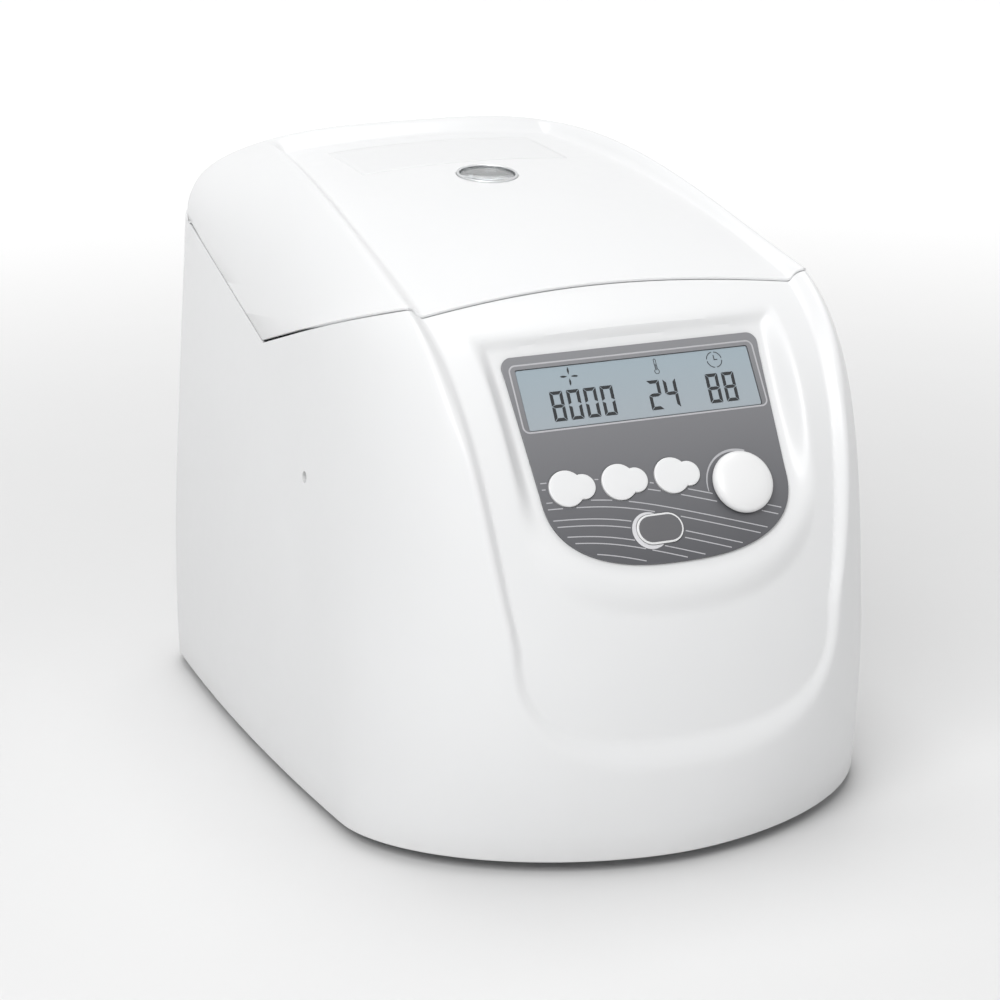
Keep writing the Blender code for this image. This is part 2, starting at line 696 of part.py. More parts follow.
def turned_mesh(name, profile, steps):
    """A closed profile of (radius, height) points turned about Z; radius 0 closes on the axis."""
    bm = bmesh.new()
    rings = []
    for radius, height in profile:
        if radius <= 0:
            rings.append([bm.verts.new((0, 0, height))] * steps)
        else:
            rings.append([bm.verts.new((radius * math.cos(2 * math.pi * step / steps),
                                        radius * math.sin(2 * math.pi * step / steps), height))
                          for step in range(steps)])
    for index, ring in enumerate(rings):
        following = rings[(index + 1) % len(rings)]
        for step in range(steps):
            corners = []
            for vert in (ring[step], ring[(step + 1) % steps], following[(step + 1) % steps], following[step]):
                if vert not in corners:
                    corners.append(vert)
            if len(corners) > 2:
                bm.faces.new(corners)
    return mesh_from(bm, name)


def circle_outline(radius, steps, centre=(0, 0)):
    """Points of a circle."""
    return [(centre[0] + radius * math.cos(2 * math.pi * step / steps),
             centre[1] + radius * math.sin(2 * math.pi * step / steps)) for step in range(steps)]


def lobe_outline(radius, lobe, reach, steps):
    """Outline of a round button with a smaller round lobe on its right."""
    cross = (reach * reach + radius * radius - lobe * lobe) / (2 * reach)
    height = math.sqrt(radius * radius - cross * cross)
    big = math.atan2(height, cross)
    small = math.atan2(height, cross - reach)
    arc = [big + (2 * math.pi - 2 * big) * step / steps for step in range(steps + 1)]
    nub = [-small + 2 * small * step / steps for step in range(1, steps)]
    points = [(radius * math.cos(angle), radius * math.sin(angle)) for angle in arc]
    return points + [(reach + lobe * math.cos(angle), lobe * math.sin(angle)) for angle in nub]


def stadium_outline(half, radius, steps):
    """Outline of a bar with round ends."""
    points = []
    for side, start in ((1, -math.pi / 2), (-1, math.pi / 2)):
        for step in range(steps + 1):
            angle = start + math.pi * step / steps
            points.append((side * (half - radius) + radius * math.cos(angle), radius * math.sin(angle)))
    return points


def cutter(name, mesh, frame=None):
    """A hidden object that other objects are cut or joined with."""
    item = bpy.data.objects.new(name, mesh)
    bpy.context.scene.collection.objects.link(item)
    item.hide_render = True
    item.display_type = "WIRE"
    if frame is not None:
        item.matrix_world = frame
    return item


def boolean(item, tool, operation="DIFFERENCE"):
    """Cut an object with a tool, or join the tool to it."""
    change = item.modifiers.new(tool.name, "BOOLEAN")
    change.operation = operation
    change.object = tool
    change.solver = "EXACT"
    return item


def turned_about_x(degrees):
    """Rotation about X."""
    return Matrix.Rotation(math.radians(degrees), 4, "X")


def place(x, y, z):
    """Translation."""
    return Matrix.Translation((x, y, z))


def rim_offset(before, vert, after):
    """Level direction out of a skin at its rim, square to the rim's own course in plan."""
    along = after.co - before.co
    across = Vector((along.y, -along.x, 0)).normalized()
    return across if across.dot(vert.normal) > 0 else -across


def shell_from_rows(name, rows, wall, closed):
    """A skin of rows of points given a wall; the wall's edge is level across the rim."""
    bm = bmesh.new()
    outer = [[bm.verts.new(point) for point in row] for row in rows]
    columns = len(rows[0])
    last = columns if closed else columns - 1
    for low, high in zip(outer, outer[1:]):
        for index in range(last):
            after = (index + 1) % columns
            bm.faces.new((low[index], low[after], high[after], high[index]))
    bm.normal_update()
    inner = []
    for number, row in enumerate(outer):
        made = []
        for index, vert in enumerate(row):
            offset = vert.normal.copy()
            if not closed and index in (0, columns - 1):
                beside = outer[number][min(index + 1, columns - 2)]
                before = outer[number - 1][index] if number else beside
                after = outer[number + 1][index] if number < len(outer) - 1 else beside
                offset = rim_offset(before, vert, after)
            elif number in (0, len(outer) - 1):
                offset = rim_offset(row[index - 1], vert, row[(index + 1) % columns])
            rim = number in (0, len(outer) - 1) or (not closed and index in (0, columns - 1))
            made.append(bm.verts.new(vert.co - offset * wall * (RIM_SHARE if rim else 1)))
        inner.append(made)
    for low, high in zip(inner, inner[1:]):
        for index in range(last):
            after = (index + 1) % columns
            bm.faces.new((low[index], high[index], high[after], low[after]))
    for here, there in ((outer[0], inner[0]), (outer[-1], inner[-1])):
        for index in range(last):
            after = (index + 1) % columns
            bm.faces.new((here[index], there[index], there[after], here[after]))
    if not closed:
        for side in (0, columns - 1):
            for number in range(len(outer) - 1):
                bm.faces.new((outer[number][side], inner[number][side],
                              inner[number + 1][side], outer[number + 1][side]))
    return mesh_from(bm, name)


def tree_of(mesh):
    """Search tree of a mesh's faces, for measuring where another piece meets it."""
    return BVHTree.FromPolygons([vert.co for vert in mesh.vertices], [face.vertices for face in mesh.polygons])


def wall_outline(tree, height, centre_y, inset):
    """Outline that fills the housing at one height, kept a clearance off its wall."""
    points = []
    start = Vector((0, centre_y, height))
    for step in range(OUTLINE_COUNT):
        angle = 2 * math.pi * step / OUTLINE_COUNT
        heading = Vector((math.cos(angle), math.sin(angle), 0))
        hit = tree.ray_cast(start, heading)
        distance = (hit[0] - start).length - inset
        points.append(start + heading * distance)
    return points


def plate_between(name, low_points, high_points):
    """A plate whose lower and upper outlines have the same number of points."""
    bm = bmesh.new()
    low = [bm.verts.new(point) for point in low_points]
    high = [bm.verts.new(point) for point in high_points]
    bm.faces.new(low)
    bm.faces.new(high)
    for index in range(len(low)):
        after = (index + 1) % len(low)
        bm.faces.new((low[index], low[after], high[after], high[index]))
    return mesh_from(bm, name)


def panel_frame(u=0.0, v=0.0, out=0.0):
    """Frame on the control panel: X across, Y up the panel and Z out of it."""
    origin = place(0, PANEL_Y, FOOT_HEIGHT + PANEL_RISE)
    return origin @ turned_about_x(90 - PANEL_TILT) @ place(u, v, out)


def panel_outline(grow=0.0):
    """Outline of the control panel, from its top right corner round the bottom."""
    points = []
    top, corner = PANEL_TOP, PANEL_CORNER
    for step in range(5):
        angle = math.pi / 2 * (1 - step / 4)
        x = panel_half(top) - corner + corner * math.cos(angle)
        points.append((x + grow, top - corner + corner * math.sin(angle) + grow))
    for step in range(1, 5):
        v = mix(top - corner, PANEL_MID, step / 4)
        points.append((panel_half(v) + grow, v))
    for step in range(1, 10):
        angle = math.pi / 2 * step / 10
        reach = abs(math.sin(angle)) ** (2 / PANEL_ROUND_SHARE)
        x = PANEL_MID_HALF * abs(math.cos(angle)) ** (2 / PANEL_ROUND_SHARE)
        points.append((x + grow, PANEL_MID - (PANEL_MID - PANEL_LOW) * reach - grow))
    points.append((0, PANEL_LOW - grow))
    mirrored = [(-x, v) for x, v in reversed(points[:-1])]
    return points + mirrored


def build_housing():
    """Moulded housing: bulging front, recessed band, display pocket and cut-outs."""
    shares = signed_shares()
    rows = [[front_point(share, level) for share in shares] + back_points(level)
            for level in LEVEL_SHARES]
    mesh = shell_from_rows("housing_shell", rows, HOUSING_WALL, closed=True)
    tree = tree_of(mesh)
    housing = new_object("housing_shell", mesh, "housing_white")
    outline = [(OPENING_HALF, 0), (OPENING_HALF, OPENING_MID), (OPENING_LOW_HALF, OPENING_LOW),
               (-OPENING_LOW_HALF, OPENING_LOW), (-OPENING_HALF, OPENING_MID), (-OPENING_HALF, 0)]
    opening = prism_mesh("panel_opening", outline, -2 * OVERRUN, OVERRUN / 2)
    boolean(housing, cutter("panel_opening", opening, panel_frame()))
    for name, x, half_x, half_z in (("inlet_opening", INLET_X, INLET_HALF_X, INLET_HALF_Z),
                                    ("switch_opening", SWITCH_X, SWITCH_HALF_X, SWITCH_HALF_Z)):
        low = (x - half_x - GAP, REAR_Y - 2 * OVERRUN, FITTING_Z - half_z - GAP)
        high = (x + half_x + GAP, REAR_Y + OVERRUN, FITTING_Z + half_z + GAP)
        boolean(housing, cutter(name, box_mesh(name, low, high)))
    for side in (-1, 1):
        for row in range(VENT_COUNT):
            name = f"vent_slot_{'left' if side < 0 else 'right'}_{row + 1}"
            z = VENT_Z + VENT_PITCH * row
            low = (side * VENT_X - VENT_HALF, REAR_Y - 2 * OVERRUN, z)
            high = (side * VENT_X + VENT_HALF, REAR_Y + OVERRUN, z + VENT_HEIGHT)
            boolean(housing, cutter(name, box_mesh(name, low, high)))
    drill = prism_mesh("release_drill", circle_outline(RELEASE_HOLE_RADIUS, 12), 0, HALF_WIDTH + OVERRUN)
    frame = place(0, RELEASE_Y, RELEASE_Z) @ Matrix.Rotation(math.radians(-90), 4, "Y")
    boolean(housing, cutter("release_drill", drill, frame @ place(0, 0, BOWL_RADIUS + OVERRUN)))
    return tree


def build_base(tree):
    """Steel base pan and the four rubber feet."""
    low = wall_outline(tree, PAN_BASE, 0, 2 * GAP)
    high = wall_outline(tree, PAN_BASE + PAN_THICK, 0, 2 * GAP)
    new_object("base_pan", plate_between("base_pan", low, high), "steel")
    profile = [(0, 0), (FOOT_RADIUS, 0), (FOOT_TOP_RADIUS, PAN_BASE - GAP), (0, PAN_BASE - GAP)]
    mesh = turned_mesh("foot", profile, 16)
    corners = (("front_left", -FOOT_X, FOOT_FRONT_Y), ("front_right", FOOT_X, FOOT_FRONT_Y),
               ("rear_left", -FOOT_X, FOOT_REAR_Y), ("rear_right", FOOT_X, FOOT_REAR_Y))
    for name, x, y in corners:
        new_object(f"foot_{name}", mesh.copy(), "rubber_black", place(x, y, 0))


def build_deck(tree):
    """Deck inside the housing, with the bowl's opening and the latch slot."""
    low = wall_outline(tree, DECK_TOP - DECK_THICK, 0, 2 * GAP)
    high = wall_outline(tree, DECK_TOP, 0, 2 * GAP)
    for point in low + high:
        point.y = max(point.y, DECK_FRONT_Y)
    deck = new_object("deck", plate_between("deck", low, high), "liner_grey")
    hole = prism_mesh("deck_hole", circle_outline(BOWL_RADIUS + BOWL_SHEET + 2 * RUNNING_GAP, 36),
                      DECK_TOP - DECK_THICK - OVERRUN, DECK_TOP + OVERRUN)
    boolean(deck, cutter("deck_hole", hole, place(0, ROTOR_Y, 0)))
    slot = box_mesh("latch_slot", (-SLOT_HALF_X, SLOT_FRONT_Y, DECK_TOP - DECK_THICK - OVERRUN),
                    (SLOT_HALF_X, SLOT_REAR_Y, DECK_TOP + OVERRUN))
    boolean(deck, cutter("latch_slot", slot))


def build_chamber():
    """Spun steel bowl, its seal and the rubber boot round the shaft."""
    flange = DECK_TOP + GAP
    turn = [(BOWL_RADIUS - BOWL_CORNER * (1 - math.cos(math.pi / 2 * step / 2)),
             BOWL_FLOOR + BOWL_CORNER * (1 - math.sin(math.pi / 2 * step / 2))) for step in range(3)]
    inside = [(radius, height + BOWL_SHEET) for radius, height in turn]
    outside = [(radius + BOWL_SHEET * clamp((radius - BOWL_RADIUS + BOWL_CORNER) / BOWL_CORNER), height)
               for radius, height in turn]
    profile = [(BOWL_HOLE, BOWL_FLOOR), (BOWL_HOLE, BOWL_FLOOR + BOWL_SHEET)]
    profile += inside[::-1] + [(BOWL_RADIUS, flange + BOWL_SHEET), (BOWL_FLANGE, flange + BOWL_SHEET)]
    profile += [(BOWL_FLANGE, flange), (BOWL_RADIUS + BOWL_SHEET, flange)] + outside
    new_object("chamber_bowl", turned_mesh("chamber_bowl", profile, 36), "steel", place(0, ROTOR_Y, 0))
    low = flange + BOWL_SHEET + GAP
    lip = (SEAL_OUTER - SEAL_INNER) / 4
    seal = [(SEAL_INNER, low), (SEAL_OUTER, low), (SEAL_OUTER - lip, low + SEAL_HEIGHT),
            (SEAL_INNER + lip, low + SEAL_HEIGHT)]
    new_object("chamber_seal", turned_mesh("chamber_seal", seal, 36), "rubber_black", place(0, ROTOR_Y, 0))
    top = BOWL_FLOOR + BOWL_SHEET + GAP
    bore = SHAFT_RADIUS + 2 * RUNNING_GAP
    boot = [(bore, top), (BOOT_RADIUS, top), (BOOT_RADIUS, top + BOOT_THICK),
            (bore + BOOT_THICK, top + 3 * BOOT_THICK), (bore, top + 3 * BOOT_THICK)]
    new_object("shaft_boot", turned_mesh("shaft_boot", boot, 18), "rubber_black", place(0, ROTOR_Y, 0))


def build_rotor():
    """Fixed-angle rotor with its slanted tube bores, shaft and clamping nut."""
    hub = place(0, ROTOR_Y, ROTOR_BASE)
    profile = [(ROTOR_BORE, 0), (ROTOR_RADIUS - ROTOR_CHAMFER, 0), (ROTOR_RADIUS, ROTOR_CHAMFER),
               (ROTOR_RADIUS, ROTOR_SHOULDER), (ROTOR_RIM_OUTER, ROTOR_HEIGHT), (ROTOR_RIM_INNER, ROTOR_HEIGHT),
               (ROTOR_WELL_OUTER, ROTOR_WELL_FLOOR), (ROTOR_WELL_INNER, ROTOR_WELL_FLOOR),
               (ROTOR_HUB_RADIUS, ROTOR_HUB_TOP), (ROTOR_BORE, ROTOR_HUB_TOP)]
    rotor = new_object("rotor", turned_mesh("rotor", profile, 40), "aluminium", hub)
    mouth = ROTOR_WELL_FLOOR + (TUBE_CIRCLE - ROTOR_WELL_OUTER)
    tube = [(0, OVERRUN), (TUBE_RADIUS, OVERRUN), (TUBE_RADIUS, -TUBE_DEPTH),
            (TUBE_TIP_RADIUS, -TUBE_DEPTH - TUBE_TIP), (0, -TUBE_DEPTH - TUBE_TIP)]
    bm = bmesh.new()
    for number in range(TUBE_COUNT):
        single = turned_mesh("tube_bore", tube[::-1], 8)
        turn = Matrix.Rotation(2 * math.pi * number / TUBE_COUNT, 4, "Z")
        slant = Matrix.Rotation(math.radians(-TUBE_TILT), 4, "Y")
        single.transform(turn @ place(TUBE_CIRCLE, 0, mouth) @ slant)
        bm.from_mesh(single)
        bpy.data.meshes.remove(single)
    boolean(rotor, cutter("tube_bores", mesh_from(bm, "tube_bores"), hub))
    build_shaft(hub)


def build_shaft(hub):
    """Drive shaft under the rotor and the grip nut that clamps the rotor down."""
    foot = MOTOR_TOP - ROTOR_BASE - 4 * MOTOR_BOSS
    top = ROTOR_HUB_TOP + NUT_HEIGHT / 2
    shaft = [(0, foot), (SHAFT_RADIUS, foot), (SHAFT_RADIUS, -SHAFT_COLLAR_HEIGHT - GAP),
             (SHAFT_COLLAR, -SHAFT_COLLAR_HEIGHT - GAP), (SHAFT_COLLAR, -GAP), (SHAFT_RADIUS, -GAP),
             (SHAFT_RADIUS, top), (0, top)]
    new_object("drive_shaft", turned_mesh("drive_shaft", shaft, 16), "steel", hub)
    low = ROTOR_HUB_TOP + GAP
    count = NUT_GRIP_COUNT * 2
    outline = []
    for step in range(count):
        radius = NUT_RADIUS - NUT_GRIP_DEPTH * (step % 2)
        angle = 2 * math.pi * step / count
        outline.append((radius * math.cos(angle), radius * math.sin(angle)))
    nut = new_object("rotor_nut", prism_mesh("rotor_nut", outline, low, low + NUT_HEIGHT), "black_plastic", hub)
    bore = turned_mesh("nut_bore", [(0, low - OVERRUN), (SHAFT_RADIUS + GAP, low - OVERRUN),
                                    (SHAFT_RADIUS + GAP, top + GAP), (0, top + GAP)], 16)
    boolean(nut, cutter("nut_bore", bore, hub))


def build_motor():
    """Motor, its plate and the three rubber dampers that carry it."""
    hub = place(0, ROTOR_Y, 0)
    low = PLATE_BASE + PLATE_THICK + GAP
    bore = SHAFT_RADIUS + RUNNING_GAP
    blind = MOTOR_TOP - 5 * MOTOR_BOSS
    motor = [(0, low), (MOTOR_RADIUS - MOTOR_BOSS / 2, low), (MOTOR_RADIUS, low + MOTOR_BOSS / 2),
             (MOTOR_RADIUS, MOTOR_TOP - MOTOR_BOSS), (MOTOR_BOSS_RADIUS, MOTOR_TOP - MOTOR_BOSS),
             (MOTOR_BOSS_RADIUS, MOTOR_TOP), (bore, MOTOR_TOP), (bore, blind), (0, blind)]
    new_object("motor", turned_mesh("motor", motor, 24), "steel", hub)
    plate = prism_mesh("motor_plate", circle_outline(PLATE_RADIUS, 28), PLATE_BASE, PLATE_BASE + PLATE_THICK)
    new_object("motor_plate", plate, "steel", hub)
    base = PAN_BASE + PAN_THICK + GAP
    top = PLATE_BASE - GAP
    middle = (base + top) / 2
    profile = [(0, base), (DAMPER_RADIUS, base), (DAMPER_WAIST, middle), (DAMPER_RADIUS, top), (0, top)]
    mesh = turned_mesh("damper", profile, 12)
    for number in range(DAMPER_COUNT):
        turn = Matrix.Rotation(2 * math.pi * (number + 0.25) / DAMPER_COUNT, 4, "Z")
        new_object(f"motor_damper_{number + 1}", mesh.copy(), "rubber_black",
                   hub @ turn @ place(DAMPER_CIRCLE, 0, 0))


def build_power_board():
    """Power board on stand-offs at the back of the base pan, with its large components."""
    base = PAN_BASE + PAN_THICK + GAP
    low = base + POWER_RISE
    top = low + BOARD_THICK
    board = new_object("power_board", box_mesh("power_board", (POWER_X - POWER_HALF_X, POWER_Y - POWER_HALF_Y, low),
                                               (POWER_X + POWER_HALF_X, POWER_Y + POWER_HALF_Y, top)), "board_green")
    overlap = BOARD_THICK / 2
    blocks = []
    for x in (-0.9, 0.9):
        for y in (-0.75, 0.75):
            centre = (POWER_X + POWER_HALF_X * x, POWER_Y + POWER_HALF_Y * y)
            blocks.append(prism_mesh("post", circle_outline(POWER_RISE / 2, 10, centre), base, low + overlap))
    depth = POWER_HALF_Y * 0.8
    for x, half, height in ((-0.62, POWER_RISE * 2.6, POWER_RISE * 4), (-0.05, POWER_RISE * 2, POWER_RISE * 3),
                            (0.72, POWER_RISE * 2.2, POWER_RISE * 3.4)):
        centre = POWER_X + POWER_HALF_X * x
        blocks.append(box_mesh("block", (centre - half, POWER_Y - depth, top - overlap),
                               (centre + half, POWER_Y + depth / 2, top + height)))
    for x in (0.26, 0.44):
        centre = (POWER_X + POWER_HALF_X * x, POWER_Y)
        blocks.append(prism_mesh("can", circle_outline(POWER_RISE, 14, centre), top - overlap, top + 3 * POWER_RISE))
    for number, mesh in enumerate(blocks):
        boolean(board, cutter(f"board_piece_{number + 1}", mesh), "UNION")


def build_hinge():
    """Hinge pin, fixed and moving hinge leaves, and the two lid springs."""
    axis = place(0, HINGE_Y, FOOT_HEIGHT + HINGE_RISE)
    along = Matrix.Rotation(math.radians(90), 4, "Y")
    half = BARREL_X + 2 * BARREL_LENGTH + 6 * GAP + 2 * SPRING_WIRE + SPRING_LENGTH
    pin = prism_mesh("hinge_pin", circle_outline(PIN_RADIUS, 16), -half, half)
    pin.transform(along)
    new_object("hinge_pin", pin, "steel", axis)
    inner_wall = REAR_Y - REAR_LEAN - HOUSING_WALL - HINGE_Y - 2 * GAP
    for side, name in ((-1, "left"), (1, "right")):
        start = side * BARREL_X
        fixed = build_leaf(f"hinge_bracket_{name}", axis, start, inner_wall, -FIXED_LEAF)
        moving = build_leaf(f"hinge_arm_{name}", axis, start + side * (BARREL_LENGTH + 2 * GAP),
                            -LEAF_SETBACK, MOVING_LEAF)
        fixed.data.materials[0] = material("steel")
        moving.data.materials[0] = material("steel")
        first = start + side * (2 * BARREL_LENGTH + 4 * GAP)
        build_spring(f"lid_spring_{name}", axis, first, side)


def build_leaf(name, axis, start, face, reach):
    """Hinge barrel with a flat leaf whose outer face lies at the given depth."""
    end = start + math.copysign(BARREL_LENGTH, start)
    low_x, high_x = min(start, end), max(start, end)
    along = Matrix.Rotation(math.radians(90), 4, "Y")
    barrel = prism_mesh(name, circle_outline(HINGE_BARREL, 20), low_x, high_x)
    barrel.transform(along)
    item = new_object(name, barrel, "steel", axis)
    leaf = box_mesh(f"{name}_leaf", (low_x, face - LEAF_THICK, min(0, reach)), (high_x, face, max(0, reach)))
    boolean(item, cutter(f"{name}_leaf", leaf, axis), "UNION")
    bore = prism_mesh(f"{name}_bore", circle_outline(PIN_RADIUS + GAP, 16), low_x - OVERRUN, high_x + OVERRUN)
    bore.transform(along)
    boolean(item, cutter(f"{name}_bore", bore, axis))
    return item


def build_spring(name, axis, start, side):
    """Torsion spring wound round the hinge pin."""
    curve = bpy.data.curves.new(name, "CURVE")
    curve.dimensions = "3D"
    curve.bevel_depth = SPRING_WIRE
    curve.bevel_resolution = 0
    curve.use_fill_caps = True
    steps = 8 * SPRING_TURN_COUNT
    spline = curve.splines.new("POLY")
    spline.points.add(steps)
    for step in range(steps + 1):
        angle = 2 * math.pi * step / 8
        x = start + side * (SPRING_WIRE + SPRING_LENGTH * step / steps)
        spline.points[step].co = (x, SPRING_RADIUS * math.cos(angle), SPRING_RADIUS * math.sin(angle), 1)
    item = bpy.data.objects.new(name, curve)
    curve.materials.append(material("steel"))
    bpy.context.scene.collection.objects.link(item)
    item.matrix_world = axis


def build_lid():
    """Lid shell, its liner, window and striker."""
    axis = place(0, HINGE_Y, FOOT_HEIGHT + HINGE_RISE)
    rows = [[lid_point(share, row) for share in signed_shares()] for row in LID_ROW_SHARES]
    mesh = shell_from_rows("lid_shell", rows, LID_WALL, closed=False)
    tree = tree_of(mesh)
    mesh.transform(axis.inverted())
    lid = new_object("lid_shell", mesh, "housing_white", axis)
    frame, depth = window_frame(), 2 * OVERRUN
    hole = prism_mesh("window_hole", circle_outline(WINDOW_RADIUS + GAP, 26), -depth, depth)
    boolean(lid, cutter("window_hole", hole, frame))
    build_window(frame)
    build_liner(tree, axis)
    build_striker(tree, axis)


def window_frame():
    """Frame of the lid window, square to the lid's skin over the rotor's axis."""
    step = WINDOW_RADIUS
    rise = lid_skin_rise(0, ROTOR_Y)
    slope = (lid_skin_rise(0, ROTOR_Y + step) - lid_skin_rise(0, ROTOR_Y - step)) / (2 * step)
    return place(0, ROTOR_Y, FOOT_HEIGHT + rise + SEAM) @ Matrix.Rotation(math.atan(slope), 4, "X")


def build_window(frame):
    """Clear observation window in its ring."""
    inner = WINDOW_RADIUS - WINDOW_RING
    low = -LID_WALL - WINDOW_LIP
    ring = [(inner, low), (WINDOW_RADIUS, low), (WINDOW_RADIUS, WINDOW_LIP), (inner, WINDOW_LIP)]
    new_object("window_ring", turned_mesh("window_ring", ring, 26), "steel", frame)
    glass = [(0, -WINDOW_GLASS), (inner - GAP, -WINDOW_GLASS), (inner - GAP, 0), (0, 0)]
    new_object("lid_window", turned_mesh("lid_window", glass, 24), "window_clear", frame)


def liner_point(turn, inset, height):
    """A point of the tub's rounded outline at a share of its way round."""
    angle = 2 * math.pi * turn
    power = 2 / LINER_ROUND_SHARE
    x = math.copysign(abs(math.cos(angle)) ** power, math.cos(angle)) * (LINER_HALF_X - inset)
    y = math.copysign(abs(math.sin(angle)) ** power, math.sin(angle)) * (LINER_HALF_Y - inset)
    return Vector((x, y + LINER_Y, height))


def build_liner(tree, axis):
    """Moulded tub that fills the lid down to the chamber seal, with its own clear pane."""
    low = DECK_TOP + 3 * GAP + BOWL_SHEET + SEAL_HEIGHT
    count = OUTLINE_COUNT
    loops = [[], [], [], []]
    for step in range(count):
        beside = [liner_point((step + shift / 2) / count, grow, low)
                  for shift in (-2, -1, 0, 1, 2) for grow in (0, LINER_THICK)]
        top = min(tree.ray_cast(point, Vector((0, 0, 1)))[0].z for point in beside) - LINER_REST
        outside, inside = liner_point(step / count, 0, low), liner_point(step / count, LINER_THICK, low)
        for loop, point, height in zip(loops, (outside, outside, inside, inside), (low, top, top, low + LINER_THICK)):
            loop.append(Vector((point.x, point.y, height)))
    bm = bmesh.new()
    rings = [[bm.verts.new(point) for point in loop] for loop in loops]
    for ring, following in zip(rings, rings[1:]):
        for index in range(count):
            after = (index + 1) % count
            bm.faces.new((ring[index], ring[after], following[after], following[index]))
    bm.faces.new(rings[0])
    bm.faces.new(rings[3])
    mesh = mesh_from(bm, "lid_liner")
    mesh.transform(axis.inverted())
    liner = new_object("lid_liner", mesh, "liner_grey", axis)
    hub = place(0, ROTOR_Y, 0)
    hole = prism_mesh("pane_hole", circle_outline(WINDOW_RADIUS + GAP, 24), low - OVERRUN, low + OVERRUN)
    boolean(liner, cutter("pane_hole", hole, hub))
    pane = [(0, low), (WINDOW_RADIUS, low), (WINDOW_RADIUS, low + LINER_THICK), (0, low + LINER_THICK)]
    new_object("liner_window", turned_mesh("liner_window", pane, 22), "window_clear", hub)


def build_striker(tree, axis):
    """Steel striker under the lid's front, with the eye that the pawl catches."""
    half = STRIKER_THICK / 2
    hits = [tree.ray_cast(Vector((x, STRIKER_Y + y, DECK_TOP)), Vector((0, 0, 1)))[0].z
            for x in (-STRIKER_HALF, 0, STRIKER_HALF) for y in (-half, half)]
    top = min(hits) - GAP
    low = (-STRIKER_HALF, STRIKER_Y - STRIKER_THICK / 2, STRIKER_LOW)
    high = (STRIKER_HALF, STRIKER_Y + STRIKER_THICK / 2, top)
    mesh = box_mesh("lid_striker", low, high)
    mesh.transform(axis.inverted())
    striker = new_object("lid_striker", mesh, "steel", axis)
    eye = box_mesh("striker_eye", (-STRIKER_EYE_HALF, STRIKER_Y - OVERRUN, STRIKER_EYE_LOW),
                   (STRIKER_EYE_HALF, STRIKER_Y + OVERRUN, STRIKER_EYE_HIGH))
    boolean(striker, cutter("striker_eye", eye))


def build_latch():
    """Latch frame under the deck, the sprung pawl and its solenoid."""
    top = DECK_TOP - DECK_THICK - GAP
    frame = new_object("latch_frame", box_mesh("latch_frame", (-LATCH_HALF, LATCH_FRONT_Y, LATCH_LOW),
                                               (LATCH_HALF, LATCH_REAR_Y, top)), "steel")
    room = box_mesh("latch_room", (-LATCH_HALF + LATCH_PLATE, LATCH_FRONT_Y - OVERRUN, LATCH_LOW + LATCH_PLATE),
                    (LATCH_HALF - LATCH_PLATE, LATCH_REAR_Y - LATCH_PLATE, top + OVERRUN))
    boolean(frame, cutter("latch_room", room))
    pivot = place(0, PAWL_Y, PAWL_PIVOT)
    nose = PAWL_TOP
    outline = [(-PAWL_THICK / 2, -PAWL_THICK / 2), (PAWL_THICK / 2, -PAWL_THICK / 2),
               (PAWL_THICK / 2, nose - PAWL_THICK * 0.7), (PAWL_NOSE + PAWL_THICK / 2, nose - PAWL_THICK * 0.7),
               (PAWL_NOSE + PAWL_THICK / 2, nose), (-PAWL_THICK / 2, nose)]
    pawl = prism_mesh("latch_pawl", outline, -PAWL_HALF, PAWL_HALF)
    pawl.transform(Matrix(((0, 0, 1, 0), (1, 0, 0, 0), (0, 1, 0, 0), (0, 0, 0, 1))))
    item = new_object("latch_pawl", pawl, "steel", pivot)
    along = Matrix.Rotation(math.radians(90), 4, "Y")
    half = LATCH_HALF - LATCH_PLATE - GAP
    pin = prism_mesh("pawl_pin", circle_outline(PAWL_PIN, 12), -half, half)
    pin.transform(along)
    boolean(item, cutter("pawl_pin", pin, pivot), "UNION")
    item.matrix_world = pivot @ turned_about_x(PAWL_DRAWN)
    coil = [(0, 0), (SOLENOID_RADIUS, 0), (SOLENOID_RADIUS, SOLENOID_LENGTH), (0, SOLENOID_LENGTH)]
    low = place(0, (LATCH_FRONT_Y + LATCH_REAR_Y) / 2, LATCH_LOW - GAP - SOLENOID_LENGTH)
    new_object("latch_solenoid", turned_mesh("latch_solenoid", coil, 20), "black_plastic", low)


